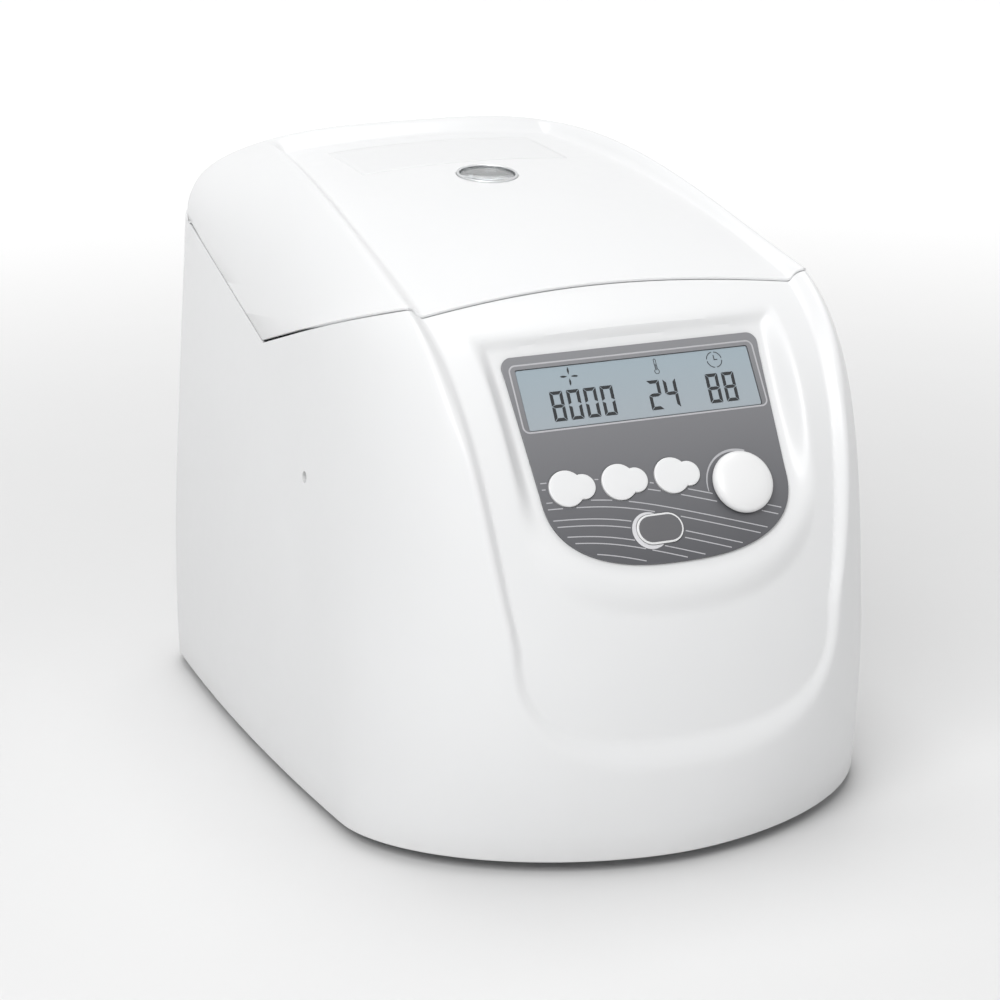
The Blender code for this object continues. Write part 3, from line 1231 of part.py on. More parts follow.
def build_back_fittings():
    """Mains inlet with its fuse drawer, and the rocker switch."""
    face = REAR_Y + GAP
    flange = (INLET_HALF_X + INLET_FLANGE, INLET_HALF_Z + INLET_FLANGE)
    inlet = new_object("power_inlet", box_mesh("power_inlet", (-flange[0], face, -flange[1]),
                                               (flange[0], face + INLET_FLANGE, flange[1])),
                       "black_plastic", place(INLET_X, 0, FITTING_Z))
    body = box_mesh("inlet_body", (-INLET_HALF_X, face - INLET_DEPTH, -INLET_HALF_Z),
                    (INLET_HALF_X, face + INLET_FLANGE / 2, INLET_HALF_Z))
    boolean(inlet, cutter("inlet_body", body, place(INLET_X, 0, FITTING_Z)), "UNION")
    rise = INLET_HALF_Z - SOCKET_HALF_Z - INLET_FLANGE
    socket = box_mesh("inlet_socket", (-SOCKET_HALF_X, face - SOCKET_DEPTH, rise - SOCKET_HALF_Z),
                      (SOCKET_HALF_X, face + OVERRUN, rise + SOCKET_HALF_Z))
    boolean(inlet, cutter("inlet_socket", socket, place(INLET_X, 0, FITTING_Z)))
    bay = box_mesh("drawer_bay", (-DRAWER_HALF_X - GAP, face - DRAWER_DEPTH - GAP, -DRAWER_HALF_Z - GAP),
                   (DRAWER_HALF_X + GAP, face + OVERRUN, DRAWER_HALF_Z + GAP))
    boolean(inlet, cutter("drawer_bay", bay, place(INLET_X, 0, FITTING_Z - DRAWER_DROP)))
    drawer = box_mesh("fuse_drawer", (-DRAWER_HALF_X, face - DRAWER_DEPTH, -DRAWER_HALF_Z),
                      (DRAWER_HALF_X, face + INLET_FLANGE, DRAWER_HALF_Z))
    new_object("fuse_drawer", drawer, "black_plastic", place(INLET_X, 0, FITTING_Z - DRAWER_DROP))
    build_switch(face)


def build_switch(face):
    """Rocker switch body and its rocker, which rests tilted to one side."""
    spot = place(SWITCH_X, 0, FITTING_Z)
    rim = (SWITCH_HALF_X + INLET_FLANGE, SWITCH_HALF_Z + INLET_FLANGE)
    body = new_object("switch_body", box_mesh("switch_body", (-rim[0], face, -rim[1]),
                                              (rim[0], face + INLET_FLANGE, rim[1])), "black_plastic", spot)
    back = box_mesh("switch_back", (-SWITCH_HALF_X, face - SWITCH_DEPTH, -SWITCH_HALF_Z),
                    (SWITCH_HALF_X, face + INLET_FLANGE / 2, SWITCH_HALF_Z))
    boolean(body, cutter("switch_back", back, spot), "UNION")
    well = box_mesh("switch_well", (-ROCKER_HALF_X - GAP, face - SWITCH_DEPTH / 2, -ROCKER_HALF_Z - GAP),
                    (ROCKER_HALF_X + GAP, face + OVERRUN, ROCKER_HALF_Z + GAP))
    boolean(body, cutter("switch_well", well, spot))
    hinge = place(SWITCH_X, face + GAP, FITTING_Z)
    half = ROCKER_HALF_Z - GAP
    bulge = ROCKER_PROUD
    crest, waist, belly = (bulge * share for share in ROCKER_BULGE_SHARES)
    outline = [(bulge, -half), (crest, -half * 0.6), (waist, 0), (crest, half * 0.6),
               (bulge, half), (-bulge, half * 0.8), (-belly, 0), (-bulge, -half * 0.8)]
    rocker = prism_mesh("switch_rocker", outline, -ROCKER_HALF_X, ROCKER_HALF_X)
    rocker.transform(Matrix(((0, 0, 1, 0), (1, 0, 0, 0), (0, 1, 0, 0), (0, 0, 0, 1))))
    rocker.transform(turned_about_x(-ROCKER_TILT))
    new_object("switch_rocker", rocker, "black_plastic", hinge)


def build_panel():
    """Control panel plate with its display window, button holes and knob hole."""
    plate = prism_mesh("control_panel", panel_outline(), -PANEL_THICK, 0)
    panel = new_object("control_panel", plate, "panel_grey", panel_frame())
    depth = 2 * PANEL_THICK
    window = box_mesh("display_window", (-WINDOW_HALF, WINDOW_LOW, -depth), (WINDOW_HALF, WINDOW_TOP, depth))
    boolean(panel, cutter("display_window", window, panel_frame()))
    for number, u in enumerate((PULSE_U, DOOR_U, SELECT_U)):
        name = f"button_hole_{number + 1}"
        outline = lobe_outline(BUTTON_RADIUS + GAP, LOBE_RADIUS + GAP, LOBE_REACH, 12)
        boolean(panel, cutter(name, prism_mesh(name, outline, -depth, depth), panel_frame(u, BUTTON_V)))
    start = prism_mesh("start_hole", stadium_outline(START_HALF + GAP, START_RADIUS + GAP, 8), -depth, depth)
    boolean(panel, cutter("start_hole", start, panel_frame(START_U, START_V)))
    knob = prism_mesh("knob_hole", circle_outline(KNOB_STEM + RUNNING_GAP, 16), -depth, depth)
    boolean(panel, cutter("knob_hole", knob, panel_frame(KNOB_U, KNOB_V)))


def build_display():
    """Clear display pane and the display module behind it."""
    pane = box_mesh("display_pane", (-WINDOW_HALF + GAP, WINDOW_LOW + GAP, -PANEL_THICK),
                    (WINDOW_HALF - GAP, WINDOW_TOP - GAP, LENS_THICK - PANEL_THICK))
    new_object("display_pane", pane, "lcd_glass", panel_frame())
    front = -PANEL_THICK - GAP
    module = box_mesh("display_module", (-WINDOW_HALF, MODULE_LOW, front - MODULE_DEPTH),
                      (WINDOW_HALF, WINDOW_TOP, front))
    item = new_object("display_module", module, "black_plastic", panel_frame())
    dish = box_mesh("module_dish", (-WINDOW_HALF + MODULE_RIM, WINDOW_LOW + MODULE_RIM, front - MODULE_RIM / 2),
                    (WINDOW_HALF - MODULE_RIM, WINDOW_TOP - MODULE_RIM, OVERRUN))
    boolean(item, cutter("module_dish", dish, panel_frame()))


def build_button(name, u, v, cap, flange):
    """A push button: a cap through the panel and a wider flange behind it."""
    under = -PANEL_THICK - GAP
    item = new_object(name, prism_mesh(name, cap, under - BUTTON_FLANGE_THICK / 2, BUTTON_PROUD),
                      "button_white", panel_frame(u, v))
    brim = prism_mesh(f"{name}_brim", flange, under - BUTTON_FLANGE_THICK, under)
    boolean(item, cutter(f"{name}_brim", brim, panel_frame(u, v)), "UNION")


def build_buttons():
    """The three upper buttons and the start and stop button."""
    for name, u in (("pulse_button", PULSE_U), ("door_button", DOOR_U), ("select_button", SELECT_U)):
        cap = lobe_outline(BUTTON_RADIUS, LOBE_RADIUS, LOBE_REACH, 12)
        brim = lobe_outline(BUTTON_RADIUS + BUTTON_FLANGE, LOBE_RADIUS + BUTTON_FLANGE, LOBE_REACH, 8)
        build_button(name, u, BUTTON_V, cap, brim)
    cap = stadium_outline(START_HALF, START_RADIUS, 8)
    brim = stadium_outline(START_HALF + BUTTON_FLANGE, START_RADIUS + BUTTON_FLANGE, 8)
    build_button("start_stop_button", START_U, START_V, cap, brim)


def build_knob():
    """Setting knob with a soft edge and its stem, and the encoder that it turns."""
    low = 2 * GAP
    top = low + KNOB_HEIGHT
    profile = [(0, -KNOB_STEM_REACH), (KNOB_STEM, -KNOB_STEM_REACH), (KNOB_STEM, low), (KNOB_RADIUS, low),
               (KNOB_RADIUS - KNOB_EDGE / 3, top - KNOB_EDGE * 2), (KNOB_RADIUS - KNOB_EDGE, top - KNOB_EDGE / 2),
               (KNOB_RADIUS - KNOB_EDGE * 2, top), (0, top - KNOB_EDGE / 2)]
    new_object("control_knob", turned_mesh("control_knob", profile, 26), "button_white",
               panel_frame(KNOB_U, KNOB_V))
    back = -BOARD_DEPTH + GAP
    body = box_mesh("encoder", (-ENCODER_HALF, -ENCODER_HALF, back), (ENCODER_HALF, ENCODER_HALF, back + ENCODER_THICK))
    encoder = new_object("encoder", body, "black_plastic", panel_frame(KNOB_U, KNOB_V))
    bore = prism_mesh("encoder_bore", circle_outline(KNOB_STEM + RUNNING_GAP, 16),
                      -KNOB_STEM_REACH - RUNNING_GAP, OVERRUN)
    boolean(encoder, cutter("encoder_bore", bore, panel_frame(KNOB_U, KNOB_V)))


def build_control_board():
    """Board behind the panel with a switch post under each button and posts on the housing."""
    top = -BOARD_DEPTH
    outline = [(BOARD_HALF, BOARD_TOP), (BOARD_HALF, OPENING_MID), (OPENING_LOW_HALF, BOARD_LOW),
               (-OPENING_LOW_HALF, BOARD_LOW), (-BOARD_HALF, OPENING_MID), (-BOARD_HALF, BOARD_TOP)]
    board = new_object("control_board", prism_mesh("control_board", outline, top - BOARD_THICK, top),
                       "board_green", panel_frame())
    under = -PANEL_THICK - GAP - BUTTON_FLANGE_THICK - BUTTON_TRAVEL - GAP
    seat = -PANEL_THICK - 2 * GAP - HOUSING_WALL - GAP
    posts = [(u, BUTTON_V, under) for u in (PULSE_U, DOOR_U, SELECT_U)] + [(START_U, START_V, under)]
    edge = (BOARD_HALF + OPENING_HALF) / 2
    posts += [(side * edge, v, seat) for side in (-1, 1) for v in (BOARD_TOP - BOARD_POST, OPENING_MID + BOARD_POST)]
    for number, (u, v, height) in enumerate(posts):
        name = f"board_post_{number + 1}"
        post = prism_mesh(name, circle_outline(BOARD_POST, 10), top - BOARD_THICK / 2, height)
        boolean(board, cutter(name, post, panel_frame(u, v)), "UNION")


def main():
    """Build the centrifuge."""
    clear_scene()
    tree = build_housing()
    build_base(tree)
    build_deck(tree)
    build_chamber()
    build_rotor()
    build_motor()
    build_power_board()
    build_hinge()
    build_lid()
    build_latch()
    build_back_fittings()
    build_panel()
    build_display()
    build_buttons()
    build_knob()
    build_control_board()
    for item in bpy.data.objects:
        item.matrix_world = place(0, -ORIGIN_Y, 0) @ item.matrix_world


main()
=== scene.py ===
"""Dressed model of a high-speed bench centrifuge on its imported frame.

Every sub-assembly is a class that holds its sizes in metres, builds its meshes and dresses them.
The row frame has +Z up, -Y to the front and its origin under the middle of the feet.
"""

from __future__ import annotations

import logging
import math
from dataclasses import dataclass, field
from enum import Enum
from typing import Callable, Iterable, Sequence

import bmesh
import bpy
import numpy as np
from mathutils import Matrix, Vector


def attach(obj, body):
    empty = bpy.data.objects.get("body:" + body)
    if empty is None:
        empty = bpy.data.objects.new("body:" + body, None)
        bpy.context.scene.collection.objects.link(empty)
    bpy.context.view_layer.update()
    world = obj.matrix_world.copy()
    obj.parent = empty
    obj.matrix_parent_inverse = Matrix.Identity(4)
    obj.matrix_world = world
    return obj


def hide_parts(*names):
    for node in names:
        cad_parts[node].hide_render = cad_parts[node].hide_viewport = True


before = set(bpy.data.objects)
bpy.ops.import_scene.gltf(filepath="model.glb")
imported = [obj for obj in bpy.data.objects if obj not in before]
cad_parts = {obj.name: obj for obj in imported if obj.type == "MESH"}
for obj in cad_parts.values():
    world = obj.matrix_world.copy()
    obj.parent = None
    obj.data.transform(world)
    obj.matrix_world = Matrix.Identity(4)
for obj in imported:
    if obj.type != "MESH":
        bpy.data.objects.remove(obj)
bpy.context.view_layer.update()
LOG = logging.getLogger("centrifuge")
Point = tuple[float, float]
Array = np.ndarray
AXIS_Y = 0.0457
GAP = 0.0003
BUMP_DISTANCE = 0.001
NOISE_LOW = 0.3
NOISE_HIGH = 0.7
LEAST_SHARE = 0.02
DUST_COLOUR = (0.42, 0.40, 0.37)


class Body(Enum):
    """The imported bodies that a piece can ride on."""

    HOUSING = "housing"
    LID = "lid"
    ROTOR = "rotor_set"
    KNOB = "knob"
    PULSE = "pulse"
    DOOR = "door"
    SELECT = "select"
    START = "start_stop"
    ROCKER = "rocker"
    DRAWER = "drawer"


class Pattern(Enum):
    """How a finish varies over its surface."""

    MOULDED = "moulded"
    BRUSHED = "brushed"
    TURNED = "turned"
    SPECKLED = "speckled"


def new_group(name: str, inputs: dict[str, float], outputs: Sequence[str]) -> bpy.types.NodeTree:
    """Make a shader group with float inputs and float outputs.

    Args:
        name: Name of the group.
        inputs: Input names with their default values.
        outputs: Output names.

    Returns:
        The group, with its input and output nodes in place.
    """
    group = bpy.data.node_groups.new(name, "ShaderNodeTree")
    for label, value in inputs.items():
        socket = group.interface.new_socket(label, in_out="INPUT", socket_type="NodeSocketFloat")
        socket.default_value = value
    for label in outputs:
        group.interface.new_socket(label, in_out="OUTPUT", socket_type="NodeSocketFloat")
    group.nodes.new("NodeGroupInput")
    group.nodes.new("NodeGroupOutput")
    return group


def math_node(tree: bpy.types.NodeTree, operation: str, *values: object) -> bpy.types.NodeSocket:
    """Add a Math node.

    Args:
        tree: Tree that the node goes into.
        operation: The node's operation.
        values: Sockets or numbers for its inputs.

    Returns:
        The node's output socket.
    """
    node = tree.nodes.new("ShaderNodeMath")
    node.operation = operation
    for index, value in enumerate(values):
        if isinstance(value, bpy.types.NodeSocket):
            tree.links.new(value, node.inputs[index])
        else:
            node.inputs[index].default_value = float(value)
    return node.outputs[0]


def split_vector(tree: bpy.types.NodeTree, vector: bpy.types.NodeSocket) -> bpy.types.Node:
    """Split a vector into its coordinates."""
    split = tree.nodes.new("ShaderNodeSeparateXYZ")
    tree.links.new(vector, split.inputs[0])
    return split


def axis_distance(tree: bpy.types.NodeTree, split: bpy.types.Node) -> bpy.types.NodeSocket:
    """Distance of a split vector from the Z axis."""
    squares = [math_node(tree, "POWER", split.outputs[axis], 2) for axis in ("X", "Y")]
    return math_node(tree, "SQRT", math_node(tree, "ADD", *squares))


def surface_group(pattern: Pattern) -> bpy.types.NodeTree:
    """Find or build the shader group of one surface pattern.

    Args:
        pattern: The pattern that is wanted.

    Returns:
        A group with inputs Scale, Cloud and Fine, and outputs Tone, Wear and Height.
    """
    name = f"surface_{pattern.value}"
    if name in bpy.data.node_groups:
        return bpy.data.node_groups[name]
    group = new_group(name, {"Scale": 100.0, "Cloud": 8.0, "Fine": 900.0}, ("Tone", "Wear", "Height"))
    source = group.nodes["Group Input"]
    sink = group.nodes["Group Output"]
    coordinate = group.nodes.new("ShaderNodeTexCoord").outputs["Object"]
    mapping = group.nodes.new("ShaderNodeMapping")
    if pattern is Pattern.BRUSHED:
        mapping.inputs["Scale"].default_value = (0.04, 1, 1)
    if pattern is Pattern.TURNED:
        mapping.inputs["Location"].default_value = (0, -AXIS_Y, 0)
    group.links.new(coordinate, mapping.inputs["Vector"])
    vector = mapping.outputs["Vector"]
    if pattern is Pattern.TURNED:
        split = split_vector(group, vector)
        join = group.nodes.new("ShaderNodeCombineXYZ")
        group.links.new(axis_distance(group, split), join.inputs[0])
        group.links.new(split.outputs["Z"], join.inputs[2])
        vector = join.outputs[0]
    for label, detail, target in (("Cloud", 3.0, "Tone"), ("Scale", 4.0, "Wear"), ("Fine", 2.0, "Height")):
        noise = group.nodes.new("ShaderNodeTexNoise")
        noise.inputs["Detail"].default_value = detail
        group.links.new(vector, noise.inputs["Vector"])
        group.links.new(source.outputs[label], noise.inputs["Scale"])
        group.links.new(noise.outputs["Fac"], sink.inputs[target])
    return group


def dust_group() -> bpy.types.NodeTree:
    """Find or build the group that gathers faint dust near the bench.

    Returns:
        A group with inputs Reach and Amount and the output Dust.
    """
    if "settled_dust" in bpy.data.node_groups:
        return bpy.data.node_groups["settled_dust"]
    group = new_group("settled_dust", {"Reach": 0.02, "Amount": 0.2}, ("Dust",))
    source = group.nodes["Group Input"]
    coordinate = group.nodes.new("ShaderNodeTexCoord").outputs["Object"]
    height = split_vector(group, coordinate).outputs["Z"]
    low = math_node(group, "DIVIDE", height, source.outputs["Reach"])
    near = math_node(group, "MAXIMUM", math_node(group, "SUBTRACT", 1.0, low), 0.0)
    noise = group.nodes.new("ShaderNodeTexNoise")
    noise.inputs["Scale"].default_value = 60.0
    group.links.new(coordinate, noise.inputs["Vector"])
    mask = math_node(group, "MULTIPLY", near, noise.outputs["Fac"])
    group.links.new(math_node(group, "MULTIPLY", mask, source.outputs["Amount"]),
                    group.nodes["Group Output"].inputs["Dust"])
    return group


def ranged(tree: bpy.types.NodeTree, value: bpy.types.NodeSocket, low: float, high: float,
           start: float = 0.0, end: float = 1.0) -> bpy.types.NodeSocket:
    """Map a value to a range.

    Args:
        tree: The material's tree.
        value: The value.
        low: Result where the value is start.
        high: Result where the value is end.
        start: Lower end of the value.
        end: Upper end of the value.

    Returns:
        The mapped socket.
    """
    node = tree.nodes.new("ShaderNodeMapRange")
    for name, number in (("From Min", start), ("From Max", end), ("To Min", low), ("To Max", high)):
        node.inputs[name].default_value = number
    tree.links.new(value, node.inputs["Value"])
    return node.outputs["Result"]


def blended(tree: bpy.types.NodeTree, share: bpy.types.NodeSocket, *colours: object) -> bpy.types.NodeSocket:
    """Mix two colours.

    Args:
        tree: The material's tree.
        share: Share of the second colour.
        colours: The two colours, each three numbers or a socket.

    Returns:
        The mixed colour's socket.
    """
    node = tree.nodes.new("ShaderNodeMix")
    node.data_type = "RGBA"
    tree.links.new(share, node.inputs[0])
    for index, colour in enumerate(colours, 6):
        if isinstance(colour, bpy.types.NodeSocket):
            tree.links.new(colour, node.inputs[index])
        else:
            node.inputs[index].default_value = (*colour, 1)
    return node.outputs[2]


def group_node(tree: bpy.types.NodeTree, group: bpy.types.NodeTree, **values: float) -> bpy.types.Node:
    """Add a shared group to a material.

    Args:
        tree: The material's tree.
        group: The group.
        values: Values of some of its inputs.

    Returns:
        The group's node.
    """
    node = tree.nodes.new("ShaderNodeGroup")
    node.node_tree = group
    for name, value in values.items():
        node.inputs[name].default_value = value
    return node


@dataclass(frozen=True)
class Surface:
    """A named material that is built once."""

    name: str

    def material(self) -> bpy.types.Material:
        """Find or build the material.

        Returns:
            The material, whose Principled BSDF is fed by the shared surface groups.
        """
        found = bpy.data.materials.get(self.name)
        if not found:
            found = bpy.data.materials.new(self.name)
            found.use_nodes = True
            self.wire(found.node_tree, found.node_tree.nodes["Principled BSDF"])
        return found

    def wire(self, tree: bpy.types.NodeTree, shader: bpy.types.Node) -> None:
        """Wire the nodes, in each kind of finish in its own way."""
        raise NotImplementedError

    @staticmethod
    def emboss(tree: bpy.types.NodeTree, shader: bpy.types.Node, height: bpy.types.NodeSocket,
               strength: float) -> None:
        """Feed a height to the shader as a bump.

        Args:
            tree: The material's tree.
            shader: The Principled BSDF.
            height: The height.
            strength: Strength of the bump.
        """
        bump = tree.nodes.new("ShaderNodeBump")
        bump.inputs["Strength"].default_value = strength
        bump.inputs["Distance"].default_value = BUMP_DISTANCE
        tree.links.new(height, bump.inputs["Height"])
        tree.links.new(bump.outputs["Normal"], shader.inputs["Normal"])


@dataclass(frozen=True)
class Finish(Surface):
    """One surface finish: its colour, gloss and how it varies."""

    colour: tuple[float, float, float]
    roughness: float = 0.45
    metallic: float = 0.0
    pattern: Pattern = Pattern.MOULDED
    tone: float = 0.03
    gloss_change: float = 0.08
    bump: float = 0.02
    scale: float = 160.0
    fine: float = 1400.0
    coat: float = 0.0
    dust: float = 0.0

    def wire(self, tree: bpy.types.NodeTree, shader: bpy.types.Node) -> None:
        """Vary the colour and the gloss with the shared noise, and lay the dust over them."""
        shader.inputs["Metallic"].default_value = self.metallic
        if self.coat:
            shader.inputs["Coat Weight"].default_value = self.coat
            shader.inputs["Coat Roughness"].default_value = 0.08
        group = group_node(tree, surface_group(self.pattern), Scale=self.scale, Fine=self.fine)
        dark = [channel * (1 - self.tone) for channel in self.colour]
        light = [min(1.0, channel * (1 + self.tone)) for channel in self.colour]
        share = ranged(tree, group.outputs["Tone"], LEAST_SHARE, 1.0, NOISE_LOW, NOISE_HIGH)
        colour = blended(tree, share, dark, light)
        if self.dust:
            dust = group_node(tree, dust_group(), Amount=self.dust)
            colour = blended(tree, dust.outputs["Dust"], colour, DUST_COLOUR)
        tree.links.new(colour, shader.inputs["Base Color"])
        least = max(LEAST_SHARE, self.roughness - self.gloss_change)
        rough = ranged(tree, group.outputs["Wear"], least, self.roughness + self.gloss_change,
                       NOISE_LOW, NOISE_HIGH)
        tree.links.new(rough, shader.inputs["Roughness"])
        self.emboss(tree, shader, group.outputs["Height"], self.bump)


@dataclass(frozen=True)
class GlassFinish(Surface):
    """Clear moulded window material, faintly uneven as moulded panes are."""

    colour: tuple[float, float, float]
    roughness: float = 0.03

    def wire(self, tree: bpy.types.NodeTree, shader: bpy.types.Node) -> None:
        """Let light through and vary the gloss a little."""
        for name, value in (("Base Color", (*self.colour, 1)), ("Transmission Weight", 0.9), ("IOR", 1.45)):
            shader.inputs[name].default_value = value
        wear = group_node(tree, surface_group(Pattern.MOULDED)).outputs["Wear"]
        tree.links.new(ranged(tree, wear, self.roughness, self.roughness * 3), shader.inputs["Roughness"])


@dataclass(frozen=True)
class FadedFinish(Surface):
    """A finish whose colour runs from one end of the piece's UV map to the other."""

    top: tuple[float, float, float]
    bottom: tuple[float, float, float]
    roughness: float = 0.35
    coat: float = 0.0
    bump: float = 0.03
    fine: float = 2600.0

    def wire(self, tree: bpy.types.NodeTree, shader: bpy.types.Node) -> None:
        """Fade the colour along the UV map and vary the gloss."""
        shader.inputs["Coat Weight"].default_value = self.coat
        shader.inputs["Coat Roughness"].default_value = 0.1
        place = tree.nodes.new("ShaderNodeUVMap")
        place.uv_map = "panel"
        share = split_vector(tree, place.outputs["UV"]).outputs["Y"]
        tree.links.new(blended(tree, share, self.bottom, self.top), shader.inputs["Base Color"])
        group = group_node(tree, surface_group(Pattern.SPECKLED), Fine=self.fine)
        rough = ranged(tree, group.outputs["Wear"], self.roughness * 0.8, self.roughness * 1.2)
        tree.links.new(rough, shader.inputs["Roughness"])
        self.emboss(tree, shader, group.outputs["Height"], self.bump)


HOUSING_WHITE = Finish("housing_white_moulding", (0.80, 0.805, 0.81), 0.36, tone=0.012, gloss_change=0.05,
                       bump=0.010, fine=2200.0, coat=0.12, dust=0.25)
LID_WHITE = Finish("lid_white_moulding", (0.81, 0.815, 0.82), 0.33, tone=0.010, gloss_change=0.05,
                   bump=0.008, fine=2200.0, coat=0.15)
LINER_GREY = Finish("liner_grey_moulding", (0.52, 0.53, 0.55), 0.5, tone=0.03, bump=0.05)
BUTTON_WHITE = Finish("button_white_film", (0.78, 0.785, 0.79), 0.42, tone=0.015, bump=0.02, fine=3200.0)
KNOB_WHITE = Finish("knob_white_moulding", (0.81, 0.812, 0.815), 0.34, tone=0.004, gloss_change=0.02,
                    bump=0.004, fine=2600.0, coat=0.1)
KEY_DARK = Finish("key_dark_film", (0.115, 0.115, 0.122), 0.42, tone=0.03, bump=0.02)
LINE_LIGHT = Finish("printed_line_light", (0.46, 0.46, 0.48), 0.45, tone=0.04, bump=0.01)
PRINT_WHITE = Finish("printed_white", (0.66, 0.66, 0.68), 0.42, tone=0.02, bump=0.01)
DIGIT_INK = Finish("display_segment_ink", (0.010, 0.013, 0.016), 0.25, tone=0.1, bump=0.005)
BLACK_PLASTIC = Finish("black_moulding", (0.028, 0.028, 0.030), 0.45, tone=0.12, bump=0.08, fine=1800.0)
RUBBER = Finish("rubber_black_moulding", (0.022, 0.022, 0.023), 0.78, tone=0.15, bump=0.12, dust=0.6)
STEEL = Finish("steel_brushed", (0.60, 0.61, 0.62), 0.27, 1.0, Pattern.BRUSHED, 0.05, 0.10, 0.05, 300.0)
SPUN_STEEL = Finish("steel_spun", (0.62, 0.63, 0.64), 0.24, 1.0, Pattern.TURNED, 0.04, 0.09, 0.05, 1400.0)
ALUMINIUM = Finish("aluminium_anodised", (0.58, 0.59, 0.61), 0.34, 1.0, Pattern.TURNED, 0.03,
                   0.08, 0.04, 900.0)
ZINC = Finish("zinc_plated_pan", (0.50, 0.51, 0.52), 0.38, 1.0, Pattern.SPECKLED, 0.08, 0.12, 0.08, 60.0)
BRASS = Finish("brass_contact", (0.72, 0.56, 0.30), 0.25, 1.0, Pattern.BRUSHED, 0.04, 0.08, 0.03)
BOARD = Finish("board_green_lacquer", (0.02, 0.17, 0.07), 0.35, tone=0.10, bump=0.05, coat=0.3)
ENAMEL = Finish("motor_enamel", (0.10, 0.11, 0.12), 0.42, tone=0.08, bump=0.06)
CLEAR = GlassFinish("clear_pane", (0.90, 0.93, 0.94))
PANEL_FILM = FadedFinish("panel_grey_film", (0.232, 0.234, 0.246), (0.074, 0.075, 0.083), 0.40, 0.08)
DISPLAY_FACE = FadedFinish("display_blue_grey", (0.31, 0.380, 0.425), (0.33, 0.375, 0.410), 0.20, 0.35, 0.004)
LABEL_FILM = Finish("label_clear_film", (0.79, 0.795, 0.80), 0.36, tone=0.005, gloss_change=0.03, bump=0.0)


def link_object(name: str, data: bpy.types.ID) -> bpy.types.Object:
    """Make an object and link it to the scene."""
    item = bpy.data.objects.new(name, data)
    bpy.context.scene.collection.objects.link(item)
    return item


def baked(item: bpy.types.Object) -> bpy.types.Mesh:
    """Take the evaluated mesh of a helper object, and remove the object.

    Args:
        item: The object.

    Returns:
        Its plain mesh.
    """
    graph = bpy.context.evaluated_depsgraph_get()
    mesh = bpy.data.meshes.new_from_object(item.evaluated_get(graph), depsgraph=graph)
    bpy.data.objects.remove(item, do_unlink=True)
    return mesh


def dress(item: bpy.types.Object, finish: Surface) -> None:
    """Give an object one finish.

    Args:
        item: The object.
        finish: The finish for all its faces.
    """
    item.data.materials.clear()
    item.data.materials.append(finish.material())


def make_piece(name: str, mesh: bpy.types.Mesh, finish: Surface, body: Body,
               nodes: Sequence[str] = (), angle: float = 32.0) -> bpy.types.Object:
    """Put a finished mesh into the scene on its body.

    Args:
        name: Name of the piece.
        mesh: Its mesh, in the row frame.
        finish: Its finish.
        body: The body that it rides on.
        nodes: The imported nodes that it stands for.
        angle: Edges sharper than this many degrees stay sharp.

    Returns:
        The piece.
    """
    mesh.name = name
    mesh.shade_smooth()
    mesh.set_sharp_from_angle(angle=math.radians(angle))
    item = link_object(name, mesh)
    dress(item, finish)
    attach(item, body.value)
    if nodes:
        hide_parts(*nodes)
    LOG.info("%s: %d faces on %s", name, len(mesh.polygons), body.value)
    return item


def mesh_of(points: Iterable[Sequence[float]], faces: Iterable[Sequence[int]],
            fix: bool = True) -> bpy.types.Mesh:
    """Make a mesh from points and faces.

    Args:
        points: Its points.
        faces: Its faces.
        fix: Whether doubles are merged and the faces turned outwards.

    Returns:
        The mesh.
    """
    mesh = bpy.data.meshes.new("made")
    mesh.from_pydata([tuple(point) for point in points], [], [tuple(face) for face in faces])
    if fix:
        bm = bmesh.new()
        bm.from_mesh(mesh)
        bmesh.ops.remove_doubles(bm, verts=bm.verts, dist=1e-7)
        bmesh.ops.recalc_face_normals(bm, faces=bm.faces)
        bm.to_mesh(mesh)
        bm.free()
    return mesh


def joined(meshes: Sequence[bpy.types.Mesh]) -> bpy.types.Mesh:
    """Join several meshes into one.

    Args:
        meshes: The meshes, which are removed.

    Returns:
        The joined mesh.
    """
    bm = bmesh.new()
    for mesh in meshes:
        bm.from_mesh(mesh)
        bpy.data.meshes.remove(mesh)
    made = bpy.data.meshes.new("joined")
    bm.to_mesh(made)
    bm.free()
    return made


def spin(degrees: float, axis: str) -> Matrix:
    """Turn about an axis, in degrees."""
    return Matrix.Rotation(math.radians(degrees), 4, axis)


def moved(mesh: bpy.types.Mesh, matrix: Matrix) -> bpy.types.Mesh:
    """Move a mesh and return it."""
    mesh.transform(matrix)
    return mesh


def turned(profile: Sequence[Point], steps: int = 96) -> bpy.types.Mesh:
    """Turn a closed profile of (radius, height) about Z.

    Args:
        profile: Its points in order; a radius of 0 closes on the axis.
        steps: Steps round the turn.

    Returns:
        The closed mesh.
    """
    angles = np.linspace(0, 2 * math.pi, steps, endpoint=False)
    points = [(radius * math.cos(angle), radius * math.sin(angle), height)
              for radius, height in profile for angle in angles]
    faces = []
    count = len(profile)
    for ring in range(count):
        after = (ring + 1) % count
        if profile[ring][0] <= 0 and profile[after][0] <= 0:
            continue
        here, there = ring * steps, after * steps
        for step in range(steps):
            beside = (step + 1) % steps
            faces.append((here + step, here + beside, there + beside, there + step))
    return mesh_of(points, faces)


